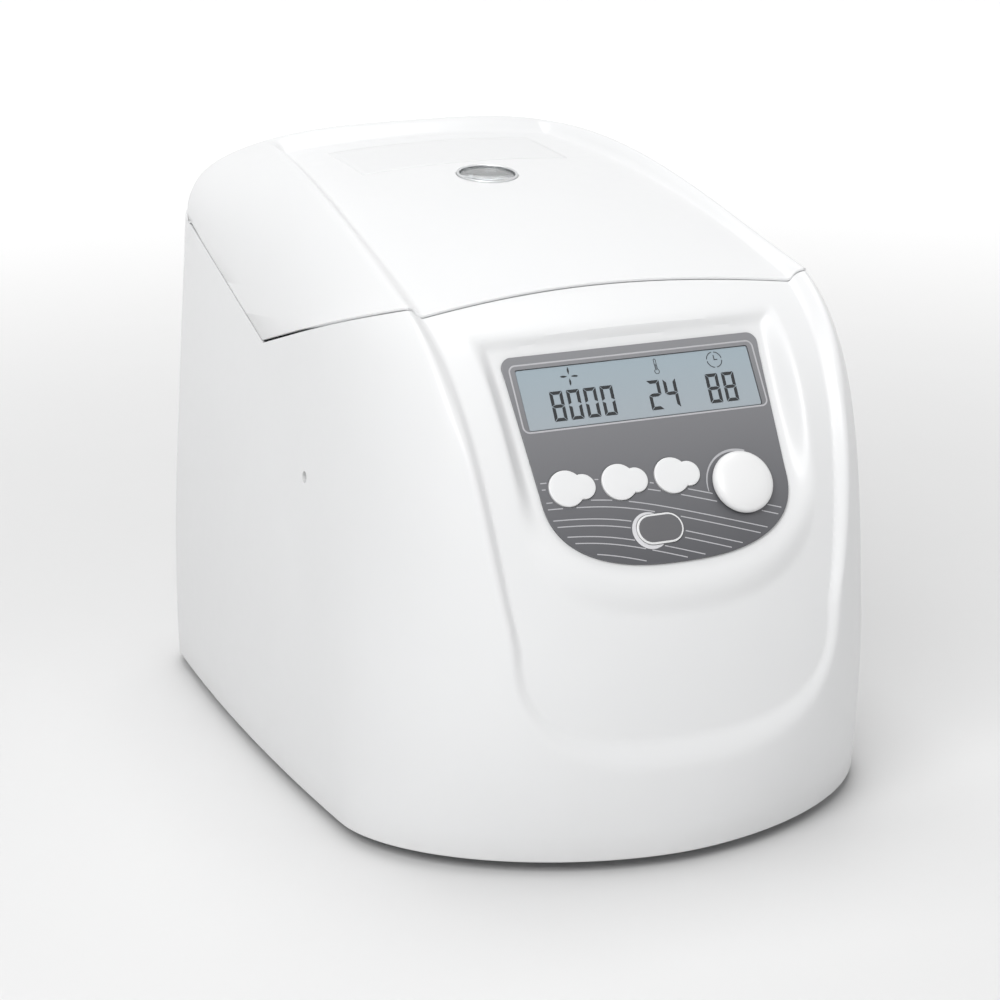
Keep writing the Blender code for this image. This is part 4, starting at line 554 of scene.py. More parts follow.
def softened(profile: Sequence[Point], radius: float, steps: int = 4) -> list[Point]:
    """Round the corners of a closed profile.

    Args:
        profile: Its corner points.
        radius: Radius of the rounding, less where the sides are short.
        steps: Points of each rounding.

    Returns:
        The rounded profile.
    """
    result: list[Point] = []
    count = len(profile)
    for index, corner in enumerate(profile):
        before, after = profile[index - 1], profile[(index + 1) % count]
        on_axis = corner[0] <= 0
        to_before = Vector(before) - Vector(corner)
        to_after = Vector(after) - Vector(corner)
        reach = min(radius, to_before.length * 0.45, to_after.length * 0.45)
        if on_axis or reach <= 0:
            result.append((corner[0], corner[1]))
            continue
        start = Vector(corner) + to_before.normalized() * reach
        end = Vector(corner) + to_after.normalized() * reach
        for step in range(steps + 1):
            share = step / steps
            point = start * (1 - share) ** 2 + Vector(corner) * (2 * share * (1 - share)) + end * share ** 2
            result.append((point.x, point.y))
    return result


def inset(outline: Sequence[Point], distance: float) -> list[Point]:
    """Move an outline inwards.

    Args:
        outline: Points in anticlockwise order.
        distance: How far each side moves in.

    Returns:
        The inner outline.
    """
    points = np.array(outline)
    along = np.roll(points, -1, axis=0) - np.roll(points, 1, axis=0)
    normal = np.stack([-along[:, 1], along[:, 0]], axis=1)
    normal /= np.maximum(np.linalg.norm(normal, axis=1, keepdims=True), 1e-9)
    area = np.sum(points[:, 0] * np.roll(points[:, 1], -1) - np.roll(points[:, 0], -1) * points[:, 1])
    return [tuple(point) for point in points + normal * distance * np.sign(area)]


def ring_faces(rings: int, count: int) -> list[tuple[int, ...]]:
    """Faces between rings of points that follow each other, each of the same number."""
    return [(ring * count + step, ring * count + (step + 1) % count, (ring + 1) * count + (step + 1) % count,
             (ring + 1) * count + step) for ring in range(rings - 1) for step in range(count)]


def shifted(outline: Sequence[Point], spot: Point) -> list[Point]:
    """Move an outline in its plane."""
    return [(x + spot[0], y + spot[1]) for x, y in outline]


def pad(outline: Sequence[Point], low: float, high: float, edge: float, dome: float = 0.0) -> bpy.types.Mesh:
    """Extrude an outline to a pad with a rounded upper edge.

    Args:
        outline: Its points.
        low: Height of its flat back.
        high: Height of its upper edge.
        edge: Radius of the rounding.
        dome: How far its middle rises above the edge.

    Returns:
        The closed mesh.
    """
    loops = [(0.0, low), (0.0, high - edge)]
    for step in range(1, 5):
        angle = math.pi / 2 * step / 4
        loops.append((edge * (1 - math.cos(angle)), high - edge * (1 - math.sin(angle))))
    loops += [(edge * 2.2, high + dome * 0.5), (edge * 3.6, high + dome * 0.85)]
    rings = [[(x, y, height) for x, y in inset(outline, distance)] for distance, height in loops]
    centre = np.mean(np.array(outline), axis=0)
    count = len(outline)
    points = [point for ring in rings for point in ring]
    faces = ring_faces(len(rings), count)
    points += [(centre[0], centre[1], low), (centre[0], centre[1], high + dome)]
    last = (len(rings) - 1) * count
    faces += [(step, (step + 1) % count, len(points) - 2) for step in range(count)]
    faces += [(last + step, last + (step + 1) % count, len(points) - 1) for step in range(count)]
    return mesh_of(points, faces)


def slab(outline: Sequence[Point], low: float, high: float) -> bpy.types.Mesh:
    """Extrude an outline with square edges.

    Args:
        outline: Its points.
        low: Lower height.
        high: Upper height.

    Returns:
        The closed mesh.
    """
    count = len(outline)
    points = [(x, y, low) for x, y in outline] + [(x, y, high) for x, y in outline]
    return mesh_of(points, [tuple(range(count)), tuple(range(count, 2 * count))] + ring_faces(2, count))


def block(low: Sequence[float], high: Sequence[float], edge: float = 0.0) -> bpy.types.Mesh:
    """A box between two corners, with bevelled edges.

    Args:
        low: Lowest corner.
        high: Highest corner.
        edge: Width of the bevel, 0 for none.

    Returns:
        The closed mesh.
    """
    bm = bmesh.new()
    bmesh.ops.create_cube(bm, size=1.0)
    for vert in bm.verts:
        vert.co = Vector([low[axis] + (high[axis] - low[axis]) * (0.5 + vert.co[axis]) for axis in range(3)])
    if edge:
        bmesh.ops.bevel(bm, geom=list(bm.edges), offset=edge, segments=3, profile=0.5, affect="EDGES")
    bmesh.ops.recalc_face_normals(bm, faces=bm.faces)
    mesh = bpy.data.meshes.new("block")
    bm.to_mesh(mesh)
    bm.free()
    return mesh


def circle(radius: float, steps: int = 48, centre: Point = (0.0, 0.0)) -> list[Point]:
    """Points of a circle, anticlockwise."""
    return [(centre[0] + radius * math.cos(2 * math.pi * step / steps),
             centre[1] + radius * math.sin(2 * math.pi * step / steps)) for step in range(steps)]


def stroke(points: Sequence[Point], width: float) -> list[Point]:
    """Outline of a line of even width.

    Args:
        points: Points along the line.
        width: Its width.

    Returns:
        The outline, along one side and back along the other.
    """
    middle = np.array(points)
    along = unit(np.gradient(middle, axis=0))
    side = np.stack([-along[:, 1], along[:, 0]], axis=1) * width / 2
    return [tuple(point) for point in np.concatenate([middle + side, (middle - side)[::-1]])]


def arc(radius: float, start: float, end: float, steps: int, centre: Point = (0.0, 0.0)) -> list[Point]:
    """Points of an arc between two angles in degrees."""
    angles = np.radians(np.linspace(start, end, steps + 1))
    return [(centre[0] + radius * math.cos(angle), centre[1] + radius * math.sin(angle)) for angle in angles]


def rounded_box(half_x: float, half_y: float, radius: float, steps: int = 6,
                centre: Point = (0.0, 0.0)) -> list[Point]:
    """Outline of a rectangle with round corners, anticlockwise.

    Args:
        half_x: Half its width.
        half_y: Half its height.
        radius: Radius of its corners.
        steps: Steps of each corner.
        centre: Its centre.

    Returns:
        Its points.
    """
    points = []
    for corner, (sx, sy) in enumerate(((1, 1), (-1, 1), (-1, -1), (1, -1))):
        for step in range(steps + 1):
            angle = math.pi / 2 * (corner + step / steps)
            points.append((centre[0] + sx * (half_x - radius) + radius * math.cos(angle),
                           centre[1] + sy * (half_y - radius) + radius * math.sin(angle)))
    return points


def carve(mesh: bpy.types.Mesh, cutters: Sequence[bpy.types.Mesh],
          operation: str = "DIFFERENCE") -> bpy.types.Mesh:
    """Cut closed meshes from a closed mesh, or join them to it.

    Args:
        mesh: The mesh that is cut.
        cutters: The cutting meshes, clear of each other.
        operation: Operation of the Boolean.

    Returns:
        The new mesh.
    """
    base = link_object("carve_base", mesh)
    tool = link_object("carve_tool", joined(cutters))
    change = base.modifiers.new("carve", "BOOLEAN")
    change.operation = operation
    change.object = tool
    change.solver = "MANIFOLD"
    result = baked(base)
    bpy.data.objects.remove(tool, do_unlink=True)
    return result


class NodeShape:
    """A Geometry Nodes tree built in the script, with named inputs."""

    def __init__(self, name: str) -> None:
        """Make the tree with its geometry input and output.

        Args:
            name: Name of the tree.
        """
        self.tree = bpy.data.node_groups.new(name, "GeometryNodeTree")
        for side in ("INPUT", "OUTPUT"):
            self.tree.interface.new_socket("Geometry", in_out=side, socket_type="NodeSocketGeometry")
        self.source = self.tree.nodes.new("NodeGroupInput")
        self.sink = self.tree.nodes.new("NodeGroupOutput")

    def number(self, name: str, value: float) -> bpy.types.NodeSocket:
        """Add a named float input and return its socket inside the tree."""
        socket = self.tree.interface.new_socket(name, in_out="INPUT", socket_type="NodeSocketFloat")
        socket.default_value = value
        return self.source.outputs[name]

    def add(self, kind: str, **settings: object) -> bpy.types.Node:
        """Add a node and set its properties."""
        node = self.tree.nodes.new(kind)
        for key, value in settings.items():
            setattr(node, key, value)
        return node

    def link(self, start: bpy.types.NodeSocket, end: bpy.types.NodeSocket) -> None:
        """Link two sockets."""
        self.tree.links.new(start, end)

    def close(self, geometry: bpy.types.NodeSocket, finish: Finish) -> None:
        """End the tree in Realize Instances and Set Material.

        Args:
            geometry: The geometry to finish.
            finish: Its finish.
        """
        real = self.add("GeometryNodeRealizeInstances")
        paint = self.add("GeometryNodeSetMaterial")
        paint.inputs["Material"].default_value = finish.material()
        self.link(geometry, real.inputs[0])
        self.link(real.outputs[0], paint.inputs["Geometry"])
        self.link(paint.outputs[0], self.sink.inputs[0])

    def mesh(self, source: bpy.types.Mesh, **values: float) -> bpy.types.Mesh:
        """Run the tree on a mesh.

        Args:
            source: The mesh that goes in.
            values: Values of the named inputs.

        Returns:
            The plain mesh that comes out.
        """
        item = link_object("node_shape", source)
        change = item.modifiers.new("shape", "NODES")
        change.node_group = self.tree
        known = {entry.name: entry.identifier for entry in self.tree.interface.items_tree
                 if entry.item_type == "SOCKET" and entry.in_out == "INPUT"}
        for name, value in values.items():
            change[known[name]] = value
        return baked(item)


def line_tree(finish: Finish) -> NodeShape:
    """Tree that sweeps a round profile along the edges of a mesh.

    Args:
        finish: The finish of the line.

    Returns:
        The tree, with the input Width, the radius of the profile.
    """
    shape = NodeShape(f"swept_line_{finish.name}")
    width = shape.number("Width", 0.0004)
    path = shape.add("GeometryNodeMeshToCurve")
    ring = shape.add("GeometryNodeCurvePrimitiveCircle")
    ring.inputs["Resolution"].default_value = 6
    shape.link(width, ring.inputs["Radius"])
    sweep = shape.add("GeometryNodeCurveToMesh")
    sweep.inputs["Fill Caps"].default_value = True
    shape.link(shape.source.outputs["Geometry"], path.inputs[0])
    shape.link(path.outputs[0], sweep.inputs["Curve"])
    shape.link(ring.outputs[0], sweep.inputs["Profile Curve"])
    shape.close(sweep.outputs[0], finish)
    return shape


def screw_tree(finish: Finish) -> NodeShape:
    """Tree that sets a pan-head screw on every point, along the point's normal.

    Args:
        finish: The finish of the screws.

    Returns:
        The tree, with the inputs Radius and Height.
    """
    shape = NodeShape("pan_head_screws")
    radius = shape.number("Radius", 0.0028)
    height = shape.number("Height", 0.0016)
    head = shape.add("GeometryNodeMeshUVSphere")
    head.inputs["Segments"].default_value = 20
    head.inputs["Rings"].default_value = 8
    shape.link(radius, head.inputs["Radius"])
    squash = shape.add("ShaderNodeMath", operation="DIVIDE")
    shape.link(height, squash.inputs[0])
    shape.link(radius, squash.inputs[1])
    scale = shape.add("ShaderNodeCombineXYZ")
    scale.inputs[0].default_value = 1.0
    scale.inputs[1].default_value = 1.0
    shape.link(squash.outputs[0], scale.inputs[2])
    normal = shape.add("GeometryNodeInputNormal")
    turn = shape.add("FunctionNodeAlignRotationToVector", axis="Z")
    shape.link(normal.outputs[0], turn.inputs["Vector"])
    copies = shape.add("GeometryNodeInstanceOnPoints")
    shape.link(shape.source.outputs["Geometry"], copies.inputs["Points"])
    shape.link(head.outputs["Mesh"], copies.inputs["Instance"])
    shape.link(turn.outputs["Rotation"], copies.inputs["Rotation"])
    shape.link(scale.outputs[0], copies.inputs["Scale"])
    shape.close(copies.outputs[0], finish)
    return shape


def unit(values: Array) -> Array:
    """Scale vectors along the last axis to length 1."""
    return values / np.maximum(np.linalg.norm(values, axis=-1, keepdims=True), 1e-12)


def ease(value: Array) -> Array:
    """A smooth step from 0 to 1."""
    value = np.clip(value, 0.0, 1.0)
    return value * value * (3.0 - 2.0 * value)


def hump(share: Array, power: Array | float) -> Array:
    """Height, 0 to 1, of a rounded hump at a share of its half width."""
    return np.maximum(0.0, 1.0 - np.abs(share) ** power) ** (1.0 / power)


def rounded_reach(across: Array, along: Array, power: float) -> Array:
    """Distance from the middle, 1 on an outline with rounded corners."""
    return (across ** power + along ** power) ** (1 / power)


def mix(start: Array | float, end: Array | float, share: Array | float) -> Array:
    """The value at a share of the way from start to end."""
    return start + (end - start) * share


@dataclass(frozen=True)
class Skin:
    """The moulded outer form, with heights above the housing's rim and depths in the skin's own frame."""

    origin_y: float = 0.0028
    rim_z: float = 0.006
    half_width: float = 0.13628
    side_lean: float = 0.0144
    side_bulge: float = 0.0040
    nose_y: float = -0.18698
    crown_y: float = 0.0402
    crown_rise: float = 0.2613
    nose_power: float = 4.6
    edge_foot_y: float = -0.0921
    tip_y: float = 0.0377
    tip_rise: float = 0.1984
    shoulder_rise: float = 0.2494
    plan_powers: tuple[float, float, float] = (1.84, 2.73, 3.63)
    tuck: float = 0.0092
    tuck_rise: float = 0.090
    rear_y: float = 0.1855
    rear_lean: float = 0.0050
    corner_radius: float = 0.030
    rear_line_rise: float = 0.2470
    rear_wall_rise: float = 0.2395
    band_nose_y: float = -0.1795
    band_crown_y: float = 0.0372
    band_crown_rise: float = 0.2520
    band_power: float = 3.3
    band_bow: float = 0.0140
    band_bow_low: float = 0.100
    band_bow_high: float = 0.242
    band_half: float = 0.088
    band_line_rise: float = 0.2410
    band_line_drop: float = 0.0042
    outer_top_half: float = 0.1000
    outer_mid_half: float = 0.0830
    outer_mid_rise: float = 0.1140
    outer_low_rise: float = 0.0425
    inner_top_half: float = 0.0910
    inner_mid_half: float = 0.0755
    inner_mid_rise: float = 0.1050
    inner_low_rise: float = 0.0580
    band_top_rise: float = 0.2380
    band_flare: float = 0.75
    band_corner: float = 3.0
    seam: float = 0.0012
    lid_crown_rise: float = 0.2870
    lid_crown_y: float = 0.0550
    lid_crown_drop: float = 0.0185
    lid_back_drop: float = 0.0212
    lid_crown_reach: float = 0.1505
    lid_side_power: float = 3.2
    lid_floor_rise: float = 0.2720
    lid_floor_y: float = 0.1470
    lid_floor_drop: float = 0.0310
    lid_floor_reach: float = 0.2285
    lid_floor_power: float = 2.4
    lid_floor_camber: float = 0.0060
    lid_band_half: float = 0.1000
    lid_band_taper: float = 0.0200
    lid_band_front_y: float = -0.0955
    lid_band_reach: float = 0.2455
    lid_band_power: float = 1.6
    lid_band_step: float = 0.0095
    lid_step_y: float = 0.1380
    lid_step_run: float = 0.0160
    lid_rear_y: float = 0.1775
    lid_rear_round: float = 0.0250
    lid_rear_rise: float = 0.2475
    panel_tilt: float = 35.24
    panel_y: float = -0.1156
    panel_rise: float = 0.2156
    panel_thick: float = 0.0012
    panel_top: float = 0.0053
    panel_top_half: float = 0.0633
    panel_mid_half: float = 0.0600
    panel_mid: float = -0.0600
    panel_low: float = -0.0970
    panel_power: float = 2.5
    pocket_margin: float = 0.0034
    pocket_slope: float = 0.0100
    pocket_low_slope: float = 0.0260

    def width(self, level: Array | float) -> Array:
        """Half width at a level, 0 at the rim and 1 at the lid line."""
        return self.half_width - self.side_lean * level

    def outer_y(self, share: Array, level: Array, rise: Array) -> Array:
        """Depth of the bulging outer front."""
        foot, middle, top = self.plan_powers
        power = foot * (1 - level) * (1 - 2 * level) + 4 * middle * level * (1 - level)
        power = power + top * level * (2 * level - 1)
        edge = mix(self.edge_foot_y, self.tip_y, level)
        bulge = hump(self.shoulder_rise * level / self.crown_rise, self.nose_power)
        centre = self.crown_y - (self.crown_y - self.nose_y) * bulge
        tuck = self.tuck * np.maximum(0.0, 1 - rise / self.tuck_rise) ** 2
        return mix(edge, centre, hump(share, power)) + tuck

    def band_y(self, x: Array, rise: Array) -> Array:
        """Depth of the recessed band's floor."""
        bulge = hump(np.minimum(rise / self.band_crown_rise, 1.0), self.band_power)
        centre = self.band_crown_y - (self.band_crown_y - self.band_nose_y) * bulge
        climb = np.clip((rise - self.band_bow_low) / (self.band_bow_high - self.band_bow_low), 0, 1)
        return centre + self.band_bow * (1 - climb ** 2) * (x / self.band_half) ** 2

    def band_reach(self, x: Array, rise: Array, mid_half: float, top_half: float,
                   mid_rise: float, low_rise: float) -> Array:
        """How far out a point is on the band's outline, 1 on the outline itself."""
        climb = np.clip((rise - mid_rise) / (self.band_top_rise - mid_rise), 0, 1) ** self.band_flare
        upper = np.abs(x) / mix(mid_half, top_half, climb)
        drop = np.maximum(0.0, (mid_rise - rise) / (mid_rise - low_rise))
        lower = rounded_reach(np.abs(x) / mid_half, drop, self.band_corner)
        return np.where(rise >= mid_rise, upper, lower)

    def band_mask(self, x: Array, rise: Array) -> Array:
        """0 on the outer skin, 1 on the band's floor and smooth between."""
        outer = self.band_reach(x, rise, self.outer_mid_half, self.outer_top_half,
                                self.outer_mid_rise, self.outer_low_rise)
        inner = self.band_reach(x, rise, self.inner_mid_half, self.inner_top_half,
                                self.inner_mid_rise, self.inner_low_rise)
        inside = np.maximum(1 - outer, 0.0)
        outside = np.maximum(inner - 1, 0.0)
        return ease(inside / np.maximum(inside + outside, 1e-9))

    def pocket(self, x: Array, v: Array) -> Array:
        """1 on the flat floor of the display pocket, 0 outside its slopes."""
        climb = np.clip((v - self.panel_mid) / (self.panel_top - self.panel_mid), 0, 1)
        out = np.maximum(np.abs(x) - mix(self.panel_mid_half, self.panel_top_half, climb), v - self.panel_top)
        drop = np.maximum(0.0, (self.panel_mid - v) / (self.panel_mid - self.panel_low))
        reach = np.maximum(rounded_reach(np.abs(x) / self.panel_mid_half, drop, self.panel_power), 1e-9)
        down = (drop / reach) ** self.panel_power
        low = (reach - 1) * mix(self.panel_mid_half, self.panel_mid - self.panel_low, down)
        out = np.where(v < self.panel_mid, low, out)
        return 1 - ease((out - self.pocket_margin) / mix(self.pocket_slope, self.pocket_low_slope, down))

    def line_rise(self, share: Array) -> Array:
        """Height of the lid line at a share of the half width."""
        outer = mix(self.tip_rise, self.shoulder_rise, hump(share, self.plan_powers[2]))
        x = share * self.width(1.0)
        floor = self.band_line_rise - self.band_line_drop * (x / self.band_half) ** 2
        return mix(outer, floor, self.band_mask(x, np.full_like(x, self.band_top_rise)))

    def front(self, share: Array, level: Array) -> Array:
        """Points of the housing's front in the row frame.

        Args:
            share: Shares of the half width.
            level: Levels, 0 at the rim and 1 at the lid line.

        Returns:
            An array of points.
        """
        share, level = np.broadcast_arrays(share, level)
        x = self.width(level) * share
        rise = level * self.line_rise(share)
        y = mix(self.outer_y(share, level, rise), self.band_y(x, rise), self.band_mask(x, rise))
        tilt = math.radians(self.panel_tilt)
        seat = (self.panel_thick + GAP) / math.cos(tilt)
        floor = self.panel_y + (rise - self.panel_rise) * math.tan(tilt) + seat
        y = mix(y, floor, self.pocket(x, (rise - self.panel_rise) / math.cos(tilt)))
        x = x - self.tuck * share * np.maximum(0.0, 1 - rise / self.tuck_rise) ** 2 / 2
        return np.stack([x, y - self.origin_y, rise + self.rim_z], axis=-1)

    def side_line(self, y: Array | float) -> Array:
        """Height of the lid line along the side, at a depth in the skin's frame."""
        return mix(self.tip_rise, self.rear_line_rise, (y - self.tip_y) / (self.rear_y - self.tip_y))

    def back_row(self, level: float, sides: int, corners: int, rear: int) -> list[tuple[float, float, float]]:
        """Points from the right front edge round the back to the left front edge.

        Args:
            level: The level of the row.
            sides: Steps along each side.
            corners: Steps round each corner.
            rear: Steps across the back.

        Returns:
            The points, without the two front edges.
        """
        edge = self.front(np.array([1.0]), np.array([level]))[0]
        width, edge_y = edge[0], edge[1] + self.origin_y
        rear_y = self.rear_y - self.rear_lean * level ** 2
        corner_y = rear_y - self.corner_radius
        top_corner = self.rear_y - self.rear_lean - self.corner_radius
        half = []
        for step in range(1, sides + 1):
            share = step / sides
            bulge = self.side_bulge * (1 - level) * 4 * share * (1 - share)
            top = self.side_line(mix(self.tip_y, top_corner, share))
            half.append((width + bulge, mix(edge_y, corner_y, share), level * top))
        for step in range(1, corners + 1):
            angle = math.pi / 2 * step / corners
            top = min(self.rear_wall_rise, self.side_line(top_corner + self.corner_radius * math.sin(angle)))
            half.append((width - self.corner_radius * (1 - math.cos(angle)),
                         corner_y + self.corner_radius * math.sin(angle), level * top))
        flat, wall_top = width - self.corner_radius, level * self.rear_wall_rise
        middle = [(flat * (1 - 2 * step / rear), rear_y, wall_top) for step in range(1, rear)]
        mirrored = [(-x, y, z) for x, y, z in reversed(half)]
        return [(x, y - self.origin_y, z + self.rim_z) for x, y, z in half + middle + mirrored]

    def lid_outer(self, x: Array, y: Array) -> Array:
        """Height of the lid's outer skin, without its recessed band."""
        drop = np.where(y > self.lid_crown_y, self.lid_back_drop, self.lid_crown_drop)
        crown = self.lid_crown_rise - drop * ((y - self.lid_crown_y) / self.lid_crown_reach) ** 2
        share = np.minimum(1.0, np.abs(x) / self.width(1.0))
        return mix(self.side_line(y), crown, np.sqrt(1 - share ** self.lid_side_power))

    def lid_floor(self, x: Array, y: Array) -> Array:
        """Height of the floor of the lid's recessed band."""
        back = np.maximum(0.0, self.lid_floor_y - y) / self.lid_floor_reach
        crown = self.lid_floor_rise - self.lid_floor_drop * back ** self.lid_floor_power
        return crown - self.lid_floor_camber * (x / self.band_half) ** 2

    def lid_mask(self, x: Array, y: Array) -> Array:
        """0 on the lid's outer skin and 1 on its recessed band."""
        back = np.maximum(0.0, y - self.lid_band_front_y) / self.lid_band_reach
        edge = self.lid_band_half - self.lid_band_taper * back ** self.lid_band_power
        across = ease((edge - np.abs(x)) / self.lid_band_step)
        return across * (1 - ease((y - self.lid_step_y) / self.lid_step_run))

    def lid_rise(self, x: Array, y: Array) -> Array:
        """Height of the finished lid skin before it turns down at the back."""
        return mix(self.lid_outer(x, y), self.lid_floor(x, y), self.lid_mask(x, y))

    def lid(self, share: Array, row: Array) -> Array:
        """Points of the lid in the row frame.

        Args:
            share: Shares of the half width.
            row: 0 at the front lid line and 1 at the back edge.

        Returns:
            An array of points.
        """
        share, row = np.broadcast_arrays(share, row)
        front = self.front(share, np.ones_like(share))
        x, front_y, line = front[..., 0], front[..., 1] + self.origin_y, front[..., 2] - self.rim_z
        flat = self.width(1.0) - self.corner_radius
        corner = np.clip((np.abs(x) - flat) / self.corner_radius, 0, 1)
        drawn = self.corner_radius * (1 - np.sqrt(1 - corner * corner))
        rear = self.lid_rear_y - drawn
        y = mix(front_y, rear, row)
        fade = np.maximum(0.0, 1 - 2 * row) ** 2
        rise = self.lid_rise(x, y) - (self.lid_rise(x, front_y) - line) * fade
        sill = np.minimum(self.side_line(self.rear_y - self.rear_lean - drawn), self.rear_wall_rise)
        low = mix(self.lid_rear_rise - self.seam, sill, ease(2 * corner - 1))
        turn = (y - (rear - self.lid_rear_round)) / self.lid_rear_round
        down = low + (rise - low) * hump(np.clip(turn, 0, 1), self.lid_floor_power)
        rise = np.where(turn > 0, down, rise)
        return np.stack([x, y - self.origin_y, rise + self.rim_z + self.seam], axis=-1)

    def panel_half(self, v: float) -> float:
        """Half width of the control panel at a height v along it."""
        if v >= self.panel_mid:
            share = (v - self.panel_mid) / (self.panel_top - self.panel_mid)
            return float(mix(self.panel_mid_half, self.panel_top_half, share))
        drop = (self.panel_mid - v) / (self.panel_mid - self.panel_low)
        return float(self.panel_mid_half * hump(np.array(drop), self.panel_power))

    def panel_outline(self, grow: float = 0.0, steps: int = 24, corner: float = 0.005) -> list[Point]:
        """Outline of the control panel, anticlockwise.

        Args:
            grow: How far it lies outside the panel's edge.
            steps: Steps round its foot.
            corner: Radius of its upper corners.

        Returns:
            Its points.
        """
        top = self.panel_top
        half = []
        for step in range(9):
            angle = math.pi / 2 * (1 - step / 8)
            half.append((self.panel_half(top) - corner + corner * math.cos(angle),
                         top - corner + corner * math.sin(angle)))
        half += [(self.panel_half(v), v) for v in np.linspace(top - corner, self.panel_mid, 12)[1:]]
        power = 2 / self.panel_power
        for step in range(1, steps):
            angle = math.pi / 2 * step / steps
            down = (self.panel_mid - self.panel_low) * math.sin(angle) ** power
            half.append((self.panel_mid_half * math.cos(angle) ** power, self.panel_mid - down))
        half.append((0.0, self.panel_low))
        loop = half + [(-x, v) for x, v in reversed(half[:-1])]
        loop.reverse()
        return inset(loop, -grow) if grow else loop

    def panel_frame(self, u: float = 0.0, v: float = 0.0, out: float = 0.0) -> Matrix:
        """Frame on the control panel: X across, Y up the panel and Z out of it."""
        origin = Matrix.Translation((0, self.panel_y - self.origin_y, self.rim_z + self.panel_rise))
        lean = spin(90 - self.panel_tilt, "X")
        return origin @ lean @ Matrix.Translation((u, v, out))


SKIN = Skin()


def spread(pieces: Sequence[tuple[float, float, int]]) -> Array:
    """Join ranges of (start, end, steps) into one rising array."""
    parts = [np.linspace(start, end, steps, endpoint=False) for start, end, steps in pieces]
    return np.concatenate(parts + [np.array([pieces[-1][1]])])


def both_ways(shares: Array) -> Array:
    """Mirror rising shares from 0 to 1 so that they run from -1 to 1."""
    return np.concatenate([-shares[:0:-1], shares])


@dataclass
class Shell:
    """A grid of points given a wall and rounded rims."""

    grid: Array
    closed: bool
    wall: float
    rim_wall: float
    rim: float = 0.0005
    inner_point: tuple[float, float, float] = (0.0, 0.0, 0.0)
    steps: int = 3

    def normals(self) -> Array:
        """Unit normals of the grid, on the side away from the inner point."""
        if self.closed:
            across = np.roll(self.grid, -1, axis=1) - np.roll(self.grid, 1, axis=1)
        else:
            across = np.gradient(self.grid, axis=1)
        up = np.gradient(self.grid, axis=0)
        normal = unit(np.cross(across, up))
        heading = self.grid - np.array(self.inner_point)
        return normal if np.sum(normal * heading) > 0 else -normal

    def loops(self) -> list[list[int]]:
        """Index loops of the open edges."""
        rows, columns = self.grid.shape[:2]
        index = np.arange(rows * columns).reshape(rows, columns)
        if self.closed:
            return [list(index[0]), list(index[-1])]
        return [list(index[0, :-1]) + list(index[:-1, -1]) + list(index[-1, :0:-1]) + list(index[:0:-1, 0])]

    def edge_directions(self) -> Array:
        """Unit directions out of the grid at its open edges."""
        out = np.zeros_like(self.grid)
        out[0] += unit(self.grid[0] - self.grid[1])
        out[-1] += unit(self.grid[-1] - self.grid[-2])
        if not self.closed:
            out[:, 0] += unit(self.grid[:, 0] - self.grid[:, 1])
            out[:, -1] += unit(self.grid[:, -1] - self.grid[:, -2])
        return unit(out)

    def mesh(self) -> bpy.types.Mesh:
        """Build the closed mesh.

        Returns:
            The shell's mesh.
        """
        rows, columns = self.grid.shape[:2]
        normal = self.normals()
        away = self.edge_directions().reshape(-1, 3)
        flat_normal = normal.reshape(-1, 3)
        outer = self.grid.reshape(-1, 3).copy()
        base = outer.copy()
        inner = outer - flat_normal * self.wall
        points = [outer, inner]
        faces: list[tuple[int, ...]] = []
        count = rows * columns
        last = columns if self.closed else columns - 1
        for row in range(rows - 1):
            for column in range(last):
                after = (column + 1) % columns
                a, b = row * columns + column, row * columns + after
                c, d = b + columns, a + columns
                faces.append((a, b, c, d))
                faces.append((count + a, count + d, count + c, count + b))
        start = 2 * count
        for loop in self.loops():
            size = len(loop)
            ids = np.array(loop)
            outer[ids] = base[ids] - away[ids] * self.rim
            inner[ids] = base[ids] - flat_normal[ids] * self.rim_wall
            previous = ids
            for step in range(1, self.steps + 1):
                angle = math.pi / 2 * step / self.steps
                ring = base[ids] - away[ids] * self.rim * (1 - math.sin(angle))
                ring = ring - flat_normal[ids] * self.rim * (1 - math.cos(angle))
                points.append(ring)
                current = np.arange(start, start + size)
                start += size
                faces += self._band(previous, current)
                previous = current
            faces += self._band(previous, ids + count)
        return mesh_of(np.concatenate(points), faces)

    @staticmethod
    def _band(first: Array, second: Array) -> list[tuple[int, ...]]:
        """Faces between two loops of the same length."""
        size = len(first)
        return [(int(first[i]), int(first[(i + 1) % size]), int(second[(i + 1) % size]), int(second[i]))
                for i in range(size)]


